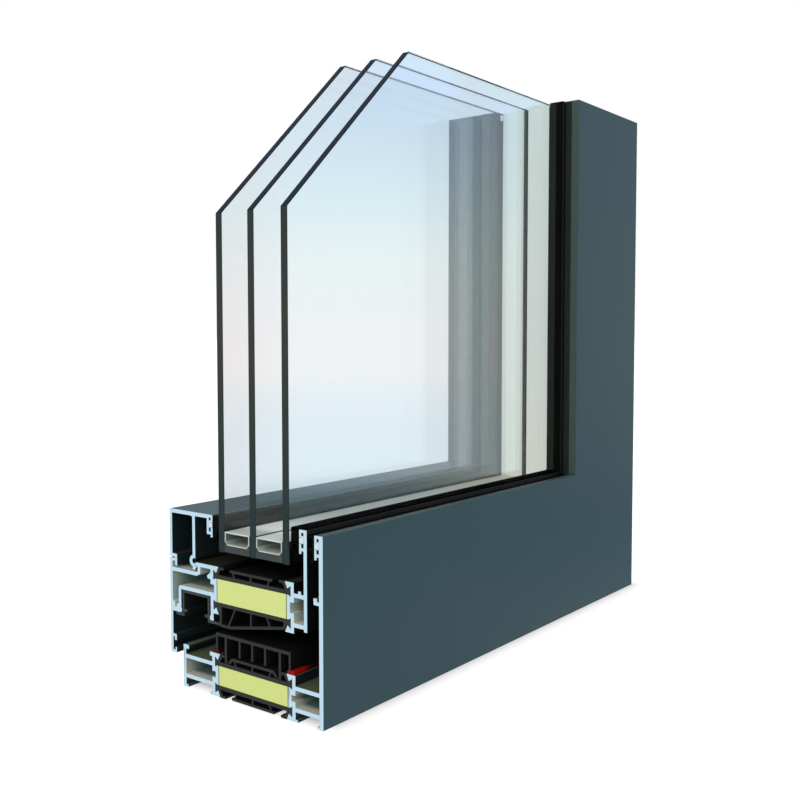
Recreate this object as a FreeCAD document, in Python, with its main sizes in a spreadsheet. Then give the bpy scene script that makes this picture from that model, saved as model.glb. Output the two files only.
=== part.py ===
import FreeCAD, Part

import math
import os

import Sketcher

# Corner sample of an aluminium window: an outer frame and an opening sash with triple glazing.
# The bottom rail runs along X from its cut end to the corner, and the jamb stands up there.
# The outlines below are drawn with Y from the outdoor face into the room and Z from the underside up.
# The jamb has the rail's section with Z replaced by the distance from the outer corner.
# Each body is then placed so that the origin is the middle of the underside of the whole sample.

SIZES = {
    # Lengths of the sample
    "rail_length": 309.5,
    "jamb_height": 302.7,
    # Depths, from the outdoor face into the room
    "sash_setback": 8.9,
    "sash_projection": 9.0,
    "pocket_start": 17.7,
    "sash_pocket_shift": 0.6,
    "break_span": 48.6,
    "room_chamber": 21.7,
    # Heights, from the underside up
    "claw_height": 5.5,
    "frame_foam_height": 9.2,
    "rebate_height": 18.3,
    "sash_foam_height": 11.0,
    "glazing_rebate": 23.4,
    "flange_step": 1.5,
    # Walls and the play of seated pieces
    "wall": 1.8,
    "flange_wall": 2.1,
    "fit": 0.15,
    "corner_round": 0.6,
    # Claws that hold the insulating bars, and the walls beside the foam
    "claw_reach": 3.4,
    "peak_reach": 2.0,
    "peak_rise": 2.5,
    "root_rise": 3.9,
    "floor_drop": 0.9,
    "floor_ramp": 1.5,
    "foam_wall_gap": 0.5,
    "link_height": 3.2,
    "web_outset": 1.0,
    # Feet and hooks of the frame
    "foot_height": 1.2,
    "foot_reach": 1.4,
    "leg_hook_reach": 2.1,
    "leg_hook_height": 1.9,
    "claw_nib_reach": 1.6,
    "keeper_drop": 29.5,
    "keeper_reach": 3.1,
    "keeper_height": 2.9,
    "keeper_shelf": 1.5,
    "keeper_lip": 2.0,
    # Gasket grooves at the tips of the flanges and the bead
    "groove_depth": 1.3,
    "groove_lip": 1.2,
    "groove_height": 9.1,
    "groove_floor": 1.3,
    "slot_drop": 3.4,
    "slot_height": 2.5,
    "lip_drop": 1.3,
    # Outdoor profile of the sash
    "flange_tip_rise": 1.7,
    "low_web_drop": 0.9,
    "nub_offset": 1.6,
    "nub_width": 1.6,
    "nub_height": 1.3,
    # Room side profile of the sash
    "overlap": 5.3,
    "nib_reach": 1.75,
    "nib_height": 1.5,
    "nose_reach": 1.4,
    "riser_chamfer": 1.3,
    "riser_ramp": 0.65,
    "knurl_reach": 2.4,
    "knurl_foot": 1.8,
    "knurl_top": 2.3,
    "knurl_peak": 0.3,
    "knurl_low": 0.9,
    "hardware_offset": 7.8,
    "hardware_rise": 2.2,
    "hardware_skirt": 3.5,
    "hardware_round": 1.8,
    "hardware_bulge": 0.6,
    "hardware_toe": 0.4,
    "hardware_heel": 1.2,
    "bulge_height": 1.8,
    "block_height": 2.2,
    "port_setback": 1.5,
    "port_step": 0.5,
    "port_width": 1.1,
    "port_depth": 2.2,
    "seal_groove_height": 9.0,
    "seal_hook_reach": 2.4,
    "seal_hook_drop": 3.0,
    "seal_lip": 1.3,
    "seal_toe": 2.7,
    "seal_toe_lip": 1.0,
    # Glazing bead
    "bead_leg_offset": 16.2,
    "bead_joint": 0.6,
    "bead_shelf": 1.5,
    "bead_hook_gap": 1.0,
    "bead_hook_wall": 1.4,
    "bead_fillet": 1.2,
    "curl_rise": 0.5,
    "curl_radius": 2.75,
    "curl_bore": 1.3,
    "prong_gap": 0.8,
    "prong_width": 1.3,
    "barb_play": 0.45,
    # Insulating bars
    "base_bar": 1.8,
    "box_inset": 13.7,
    "box_height": 5.1,
    "box_bar": 1.2,
    "rib": 0.9,
    "rib_slant": 0.7,
    "wing_reach": 2.7,
    "arm": 1.2,
    "arm_flange": 3.4,
    "clip_flange": 2.85,
    "clip_wing_reach": 2.4,
    "clip_wing_gap": 0.3,
    "clip_wing_thick": 0.9,
    "clip_wing_heel": 0.6,
    # Sloping lower bar of the sash
    "slope_base": 1.6,
    "slope_leg": 1.3,
    "slope_leg_step": 0.6,
    "slope_depth": 10.9,
    "slope_start": 4.8,
    "slope_flat": 7.3,
    "slope_chord": 1.3,
    "slope_shoulder": 0.6,
    "brace_foot": 1.4,
    "brace_run": 4.0,
    "far_brace_head": 10.85,
    "far_brace_run": 1.8,
    # Comb profile on the frame, and the seals under its outer legs
    "comb_height": 9.8,
    "comb_top": 1.5,
    "comb_leg": 1.1,
    "comb_inset": 0.9,
    "comb_pitch": 8.0,
    "comb_leg_end": 0.7,
    "comb_clip": 1.3,
    "comb_clip_end": 2.1,
    "clip_barb_reach": 0.75,
    "clip_barb_height": 0.7,
    "clip_play": 0.25,
    "seal_width": 4.0,
    "seal_height": 1.7,
    "seal_shift": 0.7,
    # Liner of the hardware groove
    "liner_wall": 1.2,
    "liner_play": 0.9,
    "liner_lip_reach": 2.0,
    "liner_lip_height": 1.3,
    "liner_lip_rise": 0.7,
    "liner_flange_reach": 4.6,
    # Glass unit
    "pane_thick": 4.0,
    "pane_gap": 16.0,
    "outer_seal_space": 5.85,
    "inner_seal_space": 3.95,
    "glass_lift": 7.1,
    "sealant_depth": 3.6,
    "sealant_recess": 0.4,
    "spacer_height": 6.1,
    "spacer_wall": 0.7,
    "spacer_chamfer": 1.6,
    "butyl": 0.2,
    "butyl_drop": 0.25,
    "cut_rise": 220.3,
    "cut_run": 86.3,
    # Gaskets
    "gasket_base": 1.1,
    "gasket_lip": 1.1,
    "gasket_top_drop": 0.4,
    "gasket_top_rise": 0.65,
    "gasket_cap_inset": 0.15,
    "mid_lip_drop": 5.4,
    "tail_lip_drop": 11.2,
    "tail_lip_reach": 1.6,
    "tail_lip": 0.9,
    "glass_lip_gap": 1.3,
    "glass_lip_drop": 3.4,
    "inner_taper": 2.2,
    "inner_seal_drop": 10.1,
    "inner_taper_rise": 4.2,
}


class Size:
    """A length that carries its value and the sheet formula that it comes from."""

    def __init__(self, value, text):
        self.value = value
        self.text = text

    def __add__(self, other):
        other = as_size(other)
        return Size(self.value + other.value, f"{self.text} + {other.text}")

    def __radd__(self, other):
        return as_size(other) + self

    def __sub__(self, other):
        other = as_size(other)
        return Size(self.value - other.value, f"{self.text} - ({other.text})")

    def __rsub__(self, other):
        return as_size(other) - self

    def __mul__(self, other):
        other = as_size(other)
        return Size(self.value * other.value, f"({self.text}) * ({other.text})")

    def __truediv__(self, other):
        other = as_size(other)
        return Size(self.value / other.value, f"({self.text}) / ({other.text})")

    def __rmul__(self, other):
        return self * other

    def __neg__(self):
        return self * -1


def as_size(value):
    """A plain number becomes a Size, and a Size stays as it is."""
    return value if isinstance(value, Size) else Size(float(value), f"({value})")


class Sheet:
    """The driving sizes as attributes, each one bound to its cell."""

    def __init__(self, doc, sizes):
        cells = doc.addObject("Spreadsheet::Sheet", "Sizes")
        for row, (name, value) in enumerate(sizes.items(), start=1):
            cells.set(f"A{row}", name)
            cells.set(f"B{row}", str(value))
            cells.setAlias(f"B{row}", name)
            setattr(self, name, Size(value, f"Sizes.{name}"))


class Bend:
    """An arc between the two points beside it: turn 1 goes anticlockwise, -1 clockwise."""

    def __init__(self, radius, turn, wide=False):
        self.radius = as_size(radius)
        self.turn = turn
        self.wide = wide

    def curve(self, start, end):
        """The arc as geometry of the sketch plane, from the values of its two ends."""
        ax, ay = start[0].value, start[1].value
        bx, by = end[0].value, end[1].value
        span = math.hypot(bx - ax, by - ay)
        height = math.sqrt(max(self.radius.value ** 2 - span ** 2 / 4, 0.0))
        side = self.turn * (-1 if self.wide else 1) * height / span
        cx = (ax + bx) / 2 - (by - ay) * side
        cy = (ay + by) / 2 + (bx - ax) * side
        first = math.atan2(ay - cy, ax - cx)
        last = math.atan2(by - cy, bx - cx)
        if self.turn < 0:
            first, last = last, first
        if last <= first:
            last += 2 * math.pi
        circle = Part.Circle(FreeCAD.Vector(cx, cy, 0), FreeCAD.Vector(0, 0, 1), self.radius.value)
        return Part.ArcOfCircle(circle, first, last)


DOC = FreeCAD.newDocument("WindowCorner")
S = Sheet(DOC, SIZES)
DOC.recompute()

# Where the curl on the bead's leg is cut off, as shares of its radii
CURL_MOUTH = 0.8
CURL_SHOULDER = 0.97

# How much a 45 degree chamfer shrinks per unit of wall when it is drawn inside that wall
CHAMFER_INSET = 2 - math.sqrt(2)

ZERO = as_size(0)

# Heights worked out from the sheet
FRAME_FOAM_LOW = S.claw_height
FRAME_FOAM_TOP = FRAME_FOAM_LOW + S.frame_foam_height
FRAME_CLAW_TOP = FRAME_FOAM_TOP + S.claw_height
SASH_CLAW_LOW = FRAME_CLAW_TOP + S.rebate_height
SASH_FOAM_LOW = SASH_CLAW_LOW + S.claw_height
SASH_FOAM_TOP = SASH_FOAM_LOW + S.sash_foam_height
SASH_CLAW_TOP = SASH_FOAM_TOP + S.claw_height
SASH_TOP = SASH_CLAW_TOP + S.glazing_rebate
FLANGE_TOP = SASH_TOP - S.flange_step
GLASS_LOW = SASH_CLAW_TOP + S.glass_lift
SPACER_LOW = GLASS_LOW + S.sealant_depth
SPACER_TOP = SPACER_LOW + S.spacer_height
HARDWARE_CEILING = SASH_FOAM_LOW + S.hardware_rise
HARDWARE_LOW = SASH_CLAW_LOW - S.hardware_skirt
SASH_LOW = FRAME_CLAW_TOP - S.overlap

# Depths worked out from the sheet
GROOVE_WIDTH = S.groove_depth + S.groove_lip
HALF_SPAN = S.break_span * 0.5
FRAME_POCKET_OUT = S.pocket_start
FRAME_POCKET_IN = FRAME_POCKET_OUT + S.break_span
FRAME_MIDDLE = FRAME_POCKET_OUT + HALF_SPAN
SASH_POCKET_OUT = FRAME_POCKET_OUT + S.sash_pocket_shift
SASH_POCKET_IN = SASH_POCKET_OUT + S.break_span
SASH_MIDDLE = SASH_POCKET_OUT + HALF_SPAN
SASH_FLANGE_BACK = S.sash_setback + S.wall
GLASS_OUT = SASH_FLANGE_BACK + GROOVE_WIDTH + S.outer_seal_space
GLASS_STEP = S.pane_thick + S.pane_gap
GLASS_IN = GLASS_OUT + GLASS_STEP * 2 + S.pane_thick
BEAD_TIP = GLASS_IN + S.inner_seal_space
FRAME_DEPTH = FRAME_POCKET_IN + S.room_chamber
SASH_DEPTH = FRAME_DEPTH + S.sash_projection
SASH_WALL = SASH_DEPTH - S.wall
HARDWARE_IN = SASH_DEPTH - S.hardware_offset
HARDWARE_OUT = SASH_POCKET_IN + S.wall
BEAD_LEG_IN = SASH_DEPTH - S.bead_leg_offset
BEAD_LEG_OUT = BEAD_LEG_IN - S.wall
RISER = BEAD_LEG_OUT - S.fit - S.nose_reach
SLOPE_LEG_FACE = SASH_POCKET_IN - S.claw_reach - S.fit - S.slope_leg_step
FOAM_FACE = S.foam_wall_gap + S.wall

# Half widths of what sits between the frame's claws
BOX_HALF = HALF_SPAN - S.box_inset
CLIP_END = HALF_SPAN - S.claw_reach - S.fit - S.clip_flange
COMB_CLIP_HALF = CLIP_END - S.clip_play - S.comb_clip * 0.5
COMB_HALF = HALF_SPAN - S.comb_inset

# From the corner where the outlines start to the middle of the sample
HALF_LENGTH = S.rail_length * 0.5
HALF_DEPTH = SASH_DEPTH * 0.5


def claw(face, foam, side, up):
    """Points round a claw, from its tip to the top of the wall beside the foam."""
    return [
        (face + S.claw_reach * side, foam + S.claw_height * up),
        (face + S.peak_reach * side, foam + S.peak_rise * up),
        (face, foam + S.root_rise * up),
        (face, foam - S.floor_drop * up),
        (face + S.floor_ramp * side, foam - S.fit * up),
        (face + FOAM_FACE * side, foam - S.fit * up),
    ]


def claws(face, low, top, side):
    """The upper claw, the wall beside the foam and the lower claw."""
    return claw(face, top, side, 1) + claw(face, low, side, -1)[::-1]


def groove(back, side, top):
    """Points down a gasket groove whose slot faces side, from the top of its lip to its foot."""
    throat = back + S.groove_depth * side
    face = back + GROOVE_WIDTH * side
    foot = top - S.groove_height
    slot = top - S.slot_drop
    return [
        (face, top),
        (face, slot),
        (throat, slot),
        (throat, top - S.groove_floor),
        (back, top - S.groove_floor),
        (back, foot + S.groove_floor),
        (throat, foot + S.groove_floor),
        (throat, slot - S.slot_height),
        (face, slot - S.slot_height),
        (face, foot - S.lip_drop),
        (throat, foot - S.lip_drop),
        (throat, foot),
    ]


def chamber(near, face, low, top, low_floor, top_ceiling, side):
    """A hollow between a far wall and a claw wall, with a bay behind the wall beside the foam."""
    back = face - S.wall * side
    bay = face + S.foam_wall_gap * side
    return [
        (near, low_floor),
        (back, low_floor),
        (back, low + S.link_height),
        (bay, low + S.link_height),
        (bay, top - S.link_height),
        (back, top - S.link_height),
        (back, top_ceiling),
        (near, top_ceiling),
    ]


def frame_outer():
    """Outdoor profile of the frame: tall flange, two webs, claws and a keeper hook."""
    back = S.flange_wall
    hook_low = FLANGE_TOP - S.keeper_drop
    claw_back = FRAME_POCKET_OUT - S.wall
    web_top = FRAME_FOAM_TOP + S.web_outset
    web_low = FRAME_FOAM_LOW - S.web_outset
    outline = [(ZERO, ZERO), (ZERO, FLANGE_TOP)]
    outline += groove(back, 1, FLANGE_TOP)
    outline += [
        (back, FLANGE_TOP - S.groove_height),
        (back, hook_low + S.keeper_shelf),
        (back + S.keeper_reach - S.keeper_lip, hook_low + S.keeper_shelf),
        (back + S.keeper_reach - S.keeper_lip, hook_low + S.keeper_height),
        (back + S.keeper_reach, hook_low + S.keeper_height),
        (back + S.keeper_reach, hook_low, S.corner_round),
        (back, hook_low),
        (back, web_top, S.corner_round),
        (claw_back, web_top),
        (claw_back, FRAME_CLAW_TOP),
    ]
    outline += claws(FRAME_POCKET_OUT, FRAME_FOAM_LOW, FRAME_FOAM_TOP, 1)
    outline += [
        (claw_back - S.foot_reach, ZERO),
        (claw_back - S.foot_reach, S.foot_height),
        (claw_back, S.foot_height),
        (claw_back, web_low),
        (back, web_low),
        (back, S.foot_height),
        (back + S.foot_reach, S.foot_height),
        (back + S.foot_reach, ZERO),
    ]
    hollow = chamber(back, FRAME_POCKET_OUT, FRAME_FOAM_LOW, FRAME_FOAM_TOP,
                     web_low + S.wall, web_top - S.wall, 1)
    return [outline, hollow]


def frame_inner():
    """Room side profile of the frame: a leg with an inward hook, two webs and claws."""
    back = FRAME_DEPTH - S.wall
    claw_back = FRAME_POCKET_IN + S.wall
    web_top = FRAME_FOAM_TOP + S.web_outset
    web_low = FRAME_FOAM_LOW - S.web_outset
    outline = [
        (FRAME_DEPTH, ZERO),
        (FRAME_DEPTH, FRAME_CLAW_TOP),
        (back - S.leg_hook_reach, FRAME_CLAW_TOP, S.corner_round),
        (back - S.leg_hook_reach, FRAME_CLAW_TOP - S.leg_hook_height, S.corner_round),
        (back, FRAME_CLAW_TOP - S.leg_hook_height),
        (back, web_top),
        (claw_back, web_top),
        (claw_back, FRAME_CLAW_TOP - S.leg_hook_height),
        (claw_back + S.claw_nib_reach, FRAME_CLAW_TOP - S.leg_hook_height),
        (claw_back + S.claw_nib_reach, FRAME_CLAW_TOP),
    ]
    outline += claws(FRAME_POCKET_IN, FRAME_FOAM_LOW, FRAME_FOAM_TOP, -1)
    outline += [
        (claw_back + S.foot_reach, ZERO),
        (claw_back + S.foot_reach, S.foot_height),
        (claw_back, S.foot_height),
        (claw_back, web_low),
        (back, web_low),
        (back, S.foot_height),
        (back - S.foot_reach, S.foot_height),
        (back - S.foot_reach, ZERO),
    ]
    hollow = chamber(back, FRAME_POCKET_IN, FRAME_FOAM_LOW, FRAME_FOAM_TOP,
                     web_low + S.wall, web_top - S.wall, -1)
    return [outline, hollow]


def sash_outer():
    """Outdoor profile of the sash: flange, gasket groove, two webs and claws."""
    back = SASH_FLANGE_BACK
    claw_back = SASH_POCKET_OUT - S.wall
    web_top = SASH_FOAM_TOP + S.web_outset
    web_low = SASH_FOAM_LOW - S.low_web_drop - S.wall
    tip = SASH_CLAW_LOW + S.flange_tip_rise
    nub = back + S.nub_offset
    outline = [(S.sash_setback, tip), (S.sash_setback, SASH_TOP)]
    outline += groove(back, 1, SASH_TOP)
    outline += [
        (back, SASH_TOP - S.groove_height),
        (back, web_top),
        (nub, web_top),
        (nub, web_top + S.nub_height),
        (nub + S.nub_width, web_top + S.nub_height),
        (nub + S.nub_width, web_top),
        (claw_back, web_top),
        (claw_back, SASH_CLAW_TOP),
    ]
    outline += claws(SASH_POCKET_OUT, SASH_FOAM_LOW, SASH_FOAM_TOP, 1)
    outline += [
        (claw_back, SASH_CLAW_LOW),
        (claw_back, web_low),
        (back, web_low),
        (back, tip),
    ]
    hollow = chamber(back, SASH_POCKET_OUT, SASH_FOAM_LOW, SASH_FOAM_TOP,
                     web_low + S.wall, web_top - S.wall, 1)
    return [outline, hollow]


def sash_inner():
    """Room side profile of the sash: overlap wall, hardware groove, chamber and bead seat."""
    web_top = SASH_FOAM_TOP + S.web_outset
    roof = SASH_CLAW_TOP - S.wall
    hook_face = SASH_WALL - S.seal_hook_reach
    hook_top = SASH_LOW + S.seal_groove_height
    wall_out = HARDWARE_OUT + S.hardware_bulge
    wall_in = HARDWARE_IN - S.hardware_toe
    outline = [
        (SASH_DEPTH, SASH_LOW),
        (SASH_DEPTH, SASH_CLAW_TOP),
        (SASH_WALL - S.nib_reach, SASH_CLAW_TOP),
        (SASH_WALL - S.nib_reach, SASH_CLAW_TOP - S.nib_height),
        (SASH_WALL, SASH_CLAW_TOP - S.nib_height),
        (SASH_WALL, web_top),
        (RISER, web_top),
        (RISER, roof),
        (RISER + S.nose_reach, roof, S.corner_round),
        (RISER + S.nose_reach, SASH_CLAW_TOP, S.corner_round),
    ]
    outline += claws(SASH_POCKET_IN, SASH_FOAM_LOW, SASH_FOAM_TOP, -1)
    outline += [
        (SASH_POCKET_IN, SASH_CLAW_LOW),
        (SASH_POCKET_IN, HARDWARE_LOW),
        (wall_out, HARDWARE_LOW, S.hardware_bulge),
        (wall_out, HARDWARE_LOW + S.bulge_height),
        (HARDWARE_OUT, HARDWARE_LOW + S.bulge_height + S.hardware_bulge),
        (HARDWARE_OUT, HARDWARE_CEILING),
        (HARDWARE_IN, HARDWARE_CEILING),
        (HARDWARE_IN, HARDWARE_LOW + S.block_height),
        (wall_in, HARDWARE_LOW + S.bulge_height),
        (wall_in, HARDWARE_LOW, S.hardware_heel),
        (SASH_WALL, HARDWARE_LOW),
        (SASH_WALL, hook_top),
        (hook_face, hook_top, S.corner_round),
        (hook_face, hook_top - S.seal_hook_drop),
        (hook_face + S.seal_lip, hook_top - S.seal_hook_drop),
        (hook_face + S.seal_lip, hook_top - S.seal_lip),
        (SASH_WALL, hook_top - S.seal_lip),
        (SASH_WALL, SASH_LOW + S.seal_lip),
        (hook_face + S.seal_toe_lip, SASH_LOW + S.seal_lip),
        (hook_face + S.seal_toe_lip, SASH_LOW + S.seal_toe),
        (hook_face, SASH_LOW + S.seal_toe),
        (hook_face, SASH_LOW),
    ]
    claw_back = SASH_POCKET_IN + S.wall
    bay = SASH_POCKET_IN - S.foam_wall_gap
    shelf = HARDWARE_CEILING + S.wall
    groove_wall = HARDWARE_IN + S.wall
    port_low = HARDWARE_LOW + S.block_height
    port_top = port_low + S.port_depth
    port_out = groove_wall + S.port_setback
    hollow = [
        (SASH_WALL, web_top - S.wall),
        (RISER + S.riser_ramp, web_top - S.wall),
        (RISER - S.wall, web_top - S.wall + S.riser_chamfer),
        (RISER - S.wall, roof),
        (claw_back, roof),
        (claw_back, SASH_FOAM_TOP + S.knurl_top),
        (claw_back + S.knurl_reach, SASH_FOAM_TOP + S.knurl_peak),
        (claw_back + S.knurl_foot, SASH_FOAM_TOP - S.knurl_low),
        (claw_back, SASH_FOAM_TOP - S.knurl_low),
        (claw_back, SASH_FOAM_TOP - S.link_height),
        (bay, SASH_FOAM_TOP - S.link_height),
        (bay, shelf),
        (groove_wall, shelf, S.hardware_round),
        (groove_wall, port_top - S.port_step),
        (port_out, port_top - S.port_step),
        (port_out, port_low),
        (port_out + S.port_width, port_low),
        (port_out + S.port_width, port_top),
        (SASH_WALL, port_top + S.port_step),
    ]
    return [outline, hollow]


def bead():
    """Glazing bead: a hollow box with a gasket groove, a rear hook and a snap curl on its leg."""
    roof = SASH_TOP - S.wall
    low = SASH_CLAW_TOP + S.bead_joint
    groove_back = BEAD_TIP + GROOVE_WIDTH
    foot = SASH_TOP - S.groove_height
    web_top = SASH_FOAM_TOP + S.web_outset
    nose_low = SASH_CLAW_TOP - S.wall
    centre = SASH_CLAW_TOP + S.curl_rise
    hook_in = SASH_WALL - S.nib_reach - S.fit
    hook_out = hook_in - S.bead_hook_wall
    outline = [(SASH_DEPTH, low), (SASH_DEPTH, SASH_TOP)]
    outline += groove(groove_back, -1, SASH_TOP)
    outline += [
        (groove_back + S.groove_floor, foot),
        (groove_back + S.groove_floor, roof),
        (BEAD_LEG_OUT, roof),
        (BEAD_LEG_OUT, centre + S.curl_bore * CURL_MOUTH),
        Bend(S.curl_bore, -1, wide=True),
        (BEAD_LEG_OUT, centre - S.curl_bore * CURL_MOUTH),
        (BEAD_LEG_OUT, nose_low - S.fit),
        (RISER + S.barb_play, nose_low - S.fit),
        (BEAD_LEG_IN - S.prong_width, web_top + S.prong_gap),
        (BEAD_LEG_IN, web_top + S.prong_gap),
        (BEAD_LEG_IN, centre - S.curl_radius * CURL_SHOULDER),
        Bend(S.curl_radius, 1),
        (BEAD_LEG_IN, centre + S.curl_radius * CURL_SHOULDER),
        (BEAD_LEG_IN, roof, S.bead_fillet),
        (SASH_WALL, roof),
        (SASH_WALL, low + S.bead_shelf),
        (hook_out, low + S.bead_shelf, S.corner_round),
        (hook_out, web_top + S.bead_hook_gap),
        (hook_in, web_top + S.bead_hook_gap),
        (hook_in, low),
    ]
    return [outline]


def mirrored(points, middle):
    """The points of a right half and of its mirror image, as one closed outline."""
    return points + [(middle * 2 - point[0], point[1]) for point in reversed(points)]


def head(middle, foam, up):
    """Half of a bar's foot, from its flat to the head in the claw and out along the claw."""
    tip = middle + HALF_SPAN
    return [
        (tip - S.floor_ramp, foam),
        (tip - S.fit, foam - (S.floor_drop - S.fit) * up),
        (tip - S.fit, foam + (S.root_rise - S.fit * 2) * up),
        (tip - S.peak_reach - S.fit, foam + (S.peak_rise - S.fit * 2) * up),
        (tip - S.claw_reach - S.fit, foam + S.claw_height * up),
    ]


def box_bar(middle, foam, up, clips=False):
    """Insulating bar with a two-cell box on its back; with clips, its wings slope down to hold the comb."""
    arm_out = middle + HALF_SPAN - S.claw_reach - S.fit
    arm_foot = middle + HALF_SPAN - S.peak_reach - S.fit - S.arm
    rib_out = middle + BOX_HALF + S.rib * 0.5
    box_under = foam + (S.box_height - S.box_bar) * up
    box_back = foam + S.box_height * up
    base = foam + S.base_bar * up
    flange_end = middle + CLIP_END if clips else arm_out - S.arm_flange
    half = head(middle, foam, up) + [
        (flange_end, foam + S.claw_height * up),
        (flange_end, foam + (S.claw_height - S.box_bar) * up),
        (arm_out - S.arm, foam + (S.claw_height - S.box_bar) * up),
        (arm_foot, base),
        (rib_out, base),
        (rib_out + S.rib_slant, box_under),
    ]
    if clips:
        bend = middle + BOX_HALF + S.clip_wing_reach
        tip = middle + COMB_CLIP_HALF - S.comb_clip * 0.5 - S.clip_barb_reach - S.clip_play
        tip_height = base + (S.clip_wing_gap + S.clip_wing_thick) * up
        half += [
            (bend - S.clip_wing_heel, box_under),
            (tip - S.clip_wing_thick, tip_height - S.clip_wing_thick * up),
            (tip, tip_height),
            (bend, box_back),
        ]
    else:
        half += [
            (middle + BOX_HALF + S.wing_reach, box_under),
            (middle + BOX_HALF + S.wing_reach, box_back),
        ]
    near = S.rib * 0.5
    far = BOX_HALF - S.rib * 0.5
    cells = [
        [
            (middle + near * side, base),
            (middle + far * side, base),
            (middle + (far + S.rib_slant) * side, box_under),
            (middle + near * side, box_under),
        ]
        for side in (1, -1)
    ]
    return [mirrored(half, middle)] + cells


def frame_break_upper():
    """Upper insulating bar of the frame."""
    return box_bar(FRAME_MIDDLE, FRAME_FOAM_TOP, 1, clips=True)


def frame_break_lower():
    """Lower insulating bar of the frame, its box turned down."""
    return box_bar(FRAME_MIDDLE, FRAME_FOAM_LOW, -1)


def sash_break_upper():
    """Upper insulating bar of the sash."""
    return box_bar(SASH_MIDDLE, SASH_FOAM_TOP, 1)


def sash_break_lower():
    """Lower insulating bar of the sash: a truss of four cells over a chord that climbs outdoors."""
    room = head(SASH_MIDDLE, SASH_FOAM_LOW, -1)
    outdoor = [(SASH_MIDDLE * 2 - y, z) for y, z in reversed(room[:-1])]
    low = SASH_FOAM_LOW - S.slope_depth
    rise = S.slope_depth - S.slope_start
    flat_end = SLOPE_LEG_FACE - S.slope_flat
    outer_end = SASH_POCKET_OUT + S.claw_reach + S.fit
    outline = room + [
        (SLOPE_LEG_FACE, SASH_CLAW_LOW - S.slope_leg_step),
        (SLOPE_LEG_FACE, low),
        (flat_end, low),
        (outer_end, low + rise),
    ] + outdoor

    def chord(depth):
        """Height of the chord's upper side at a depth past the flat stretch."""
        return low + S.slope_chord + rise * (flat_end - depth) / (flat_end - outer_end)

    roof = SASH_FOAM_LOW - S.slope_base
    floor = low + S.slope_chord
    rib = S.rib * 0.5
    leg = SLOPE_LEG_FACE - S.slope_leg
    brace_foot = flat_end + S.brace_foot
    brace = brace_foot - S.brace_run
    far_brace = outer_end + S.far_brace_head
    far_foot = far_brace - S.far_brace_run
    shoulder = outer_end + S.arm
    cells = [
        [(leg, roof), (leg, floor), (brace_foot + rib, floor), (brace + rib, roof)],
        [
            (brace - rib, roof),
            (brace_foot - rib, floor),
            (flat_end, floor),
            (SASH_MIDDLE + rib, chord(SASH_MIDDLE + rib)),
            (SASH_MIDDLE + rib, roof),
        ],
        [
            (SASH_MIDDLE - rib, roof),
            (SASH_MIDDLE - rib, chord(SASH_MIDDLE - rib)),
            (far_foot + rib, chord(far_foot + rib)),
            (far_brace + rib, roof),
        ],
        [
            (far_brace - rib, roof),
            (far_foot - rib, chord(far_foot - rib)),
            (shoulder, chord(shoulder)),
            (shoulder - S.slope_shoulder, roof),
        ],
    ]
    return [outline] + cells


def box(low_y, low_z, high_y, high_z):
    """A rectangle."""
    return [(low_y, low_z), (high_y, low_z), (high_y, high_z), (low_y, high_z)]


def frame_foam():
    """Foam block in the frame, between its bars and the walls beside them."""
    reach = FOAM_FACE + S.fit
    return [box(FRAME_POCKET_OUT + reach, FRAME_FOAM_LOW + S.fit,
                FRAME_POCKET_IN - reach, FRAME_FOAM_TOP - S.fit)]


def sash_foam():
    """Foam block in the sash."""
    reach = FOAM_FACE + S.fit
    return [box(SASH_POCKET_OUT + reach, SASH_FOAM_LOW + S.fit,
                SASH_POCKET_IN - reach, SASH_FOAM_TOP - S.fit)]


def frame_comb():
    """Comb profile that clips on the frame's upper bar, with legs that split the air gap."""
    top = FRAME_CLAW_TOP + S.comb_height
    under = top - S.comb_top
    clip_end = FRAME_FOAM_TOP + S.comb_clip_end
    clip_out = COMB_CLIP_HALF + S.comb_clip * 0.5
    clip_in = COMB_CLIP_HALF - S.comb_clip * 0.5
    leg_end = FRAME_CLAW_TOP + S.comb_leg_end
    leg = S.comb_leg * 0.5
    half = [
        (FRAME_MIDDLE + leg, leg_end),
        (FRAME_MIDDLE + leg, under),
        (FRAME_MIDDLE + S.comb_pitch - leg, under),
        (FRAME_MIDDLE + S.comb_pitch - leg, leg_end),
        (FRAME_MIDDLE + S.comb_pitch + leg, leg_end),
        (FRAME_MIDDLE + S.comb_pitch + leg, under),
        (FRAME_MIDDLE + clip_in, under),
        (FRAME_MIDDLE + clip_in, clip_end + S.clip_barb_height),
        (FRAME_MIDDLE + clip_in - S.clip_barb_reach, clip_end + S.clip_barb_height),
        (FRAME_MIDDLE + clip_in - S.clip_barb_reach, clip_end),
        (FRAME_MIDDLE + clip_out, clip_end),
        (FRAME_MIDDLE + clip_out, under),
        (FRAME_MIDDLE + COMB_HALF - S.comb_leg, under),
        (FRAME_MIDDLE + COMB_HALF - S.comb_leg, FRAME_CLAW_TOP + S.seal_height),
        (FRAME_MIDDLE + COMB_HALF, FRAME_CLAW_TOP + S.seal_height),
        (FRAME_MIDDLE + COMB_HALF, top),
    ]
    return [mirrored(half, FRAME_MIDDLE)]


def frame_seal(side):
    """Seal strip on a frame claw, under the outer leg of the comb."""
    middle = FRAME_MIDDLE + (COMB_HALF - S.comb_leg * 0.5 + S.seal_shift) * side
    return [box(middle - S.seal_width * 0.5, FRAME_CLAW_TOP,
                middle + S.seal_width * 0.5, FRAME_CLAW_TOP + S.seal_height)]


def frame_seal_outer():
    """Outdoor seal strip."""
    return frame_seal(-1)


def frame_seal_inner():
    """Room side seal strip."""
    return frame_seal(1)


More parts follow.
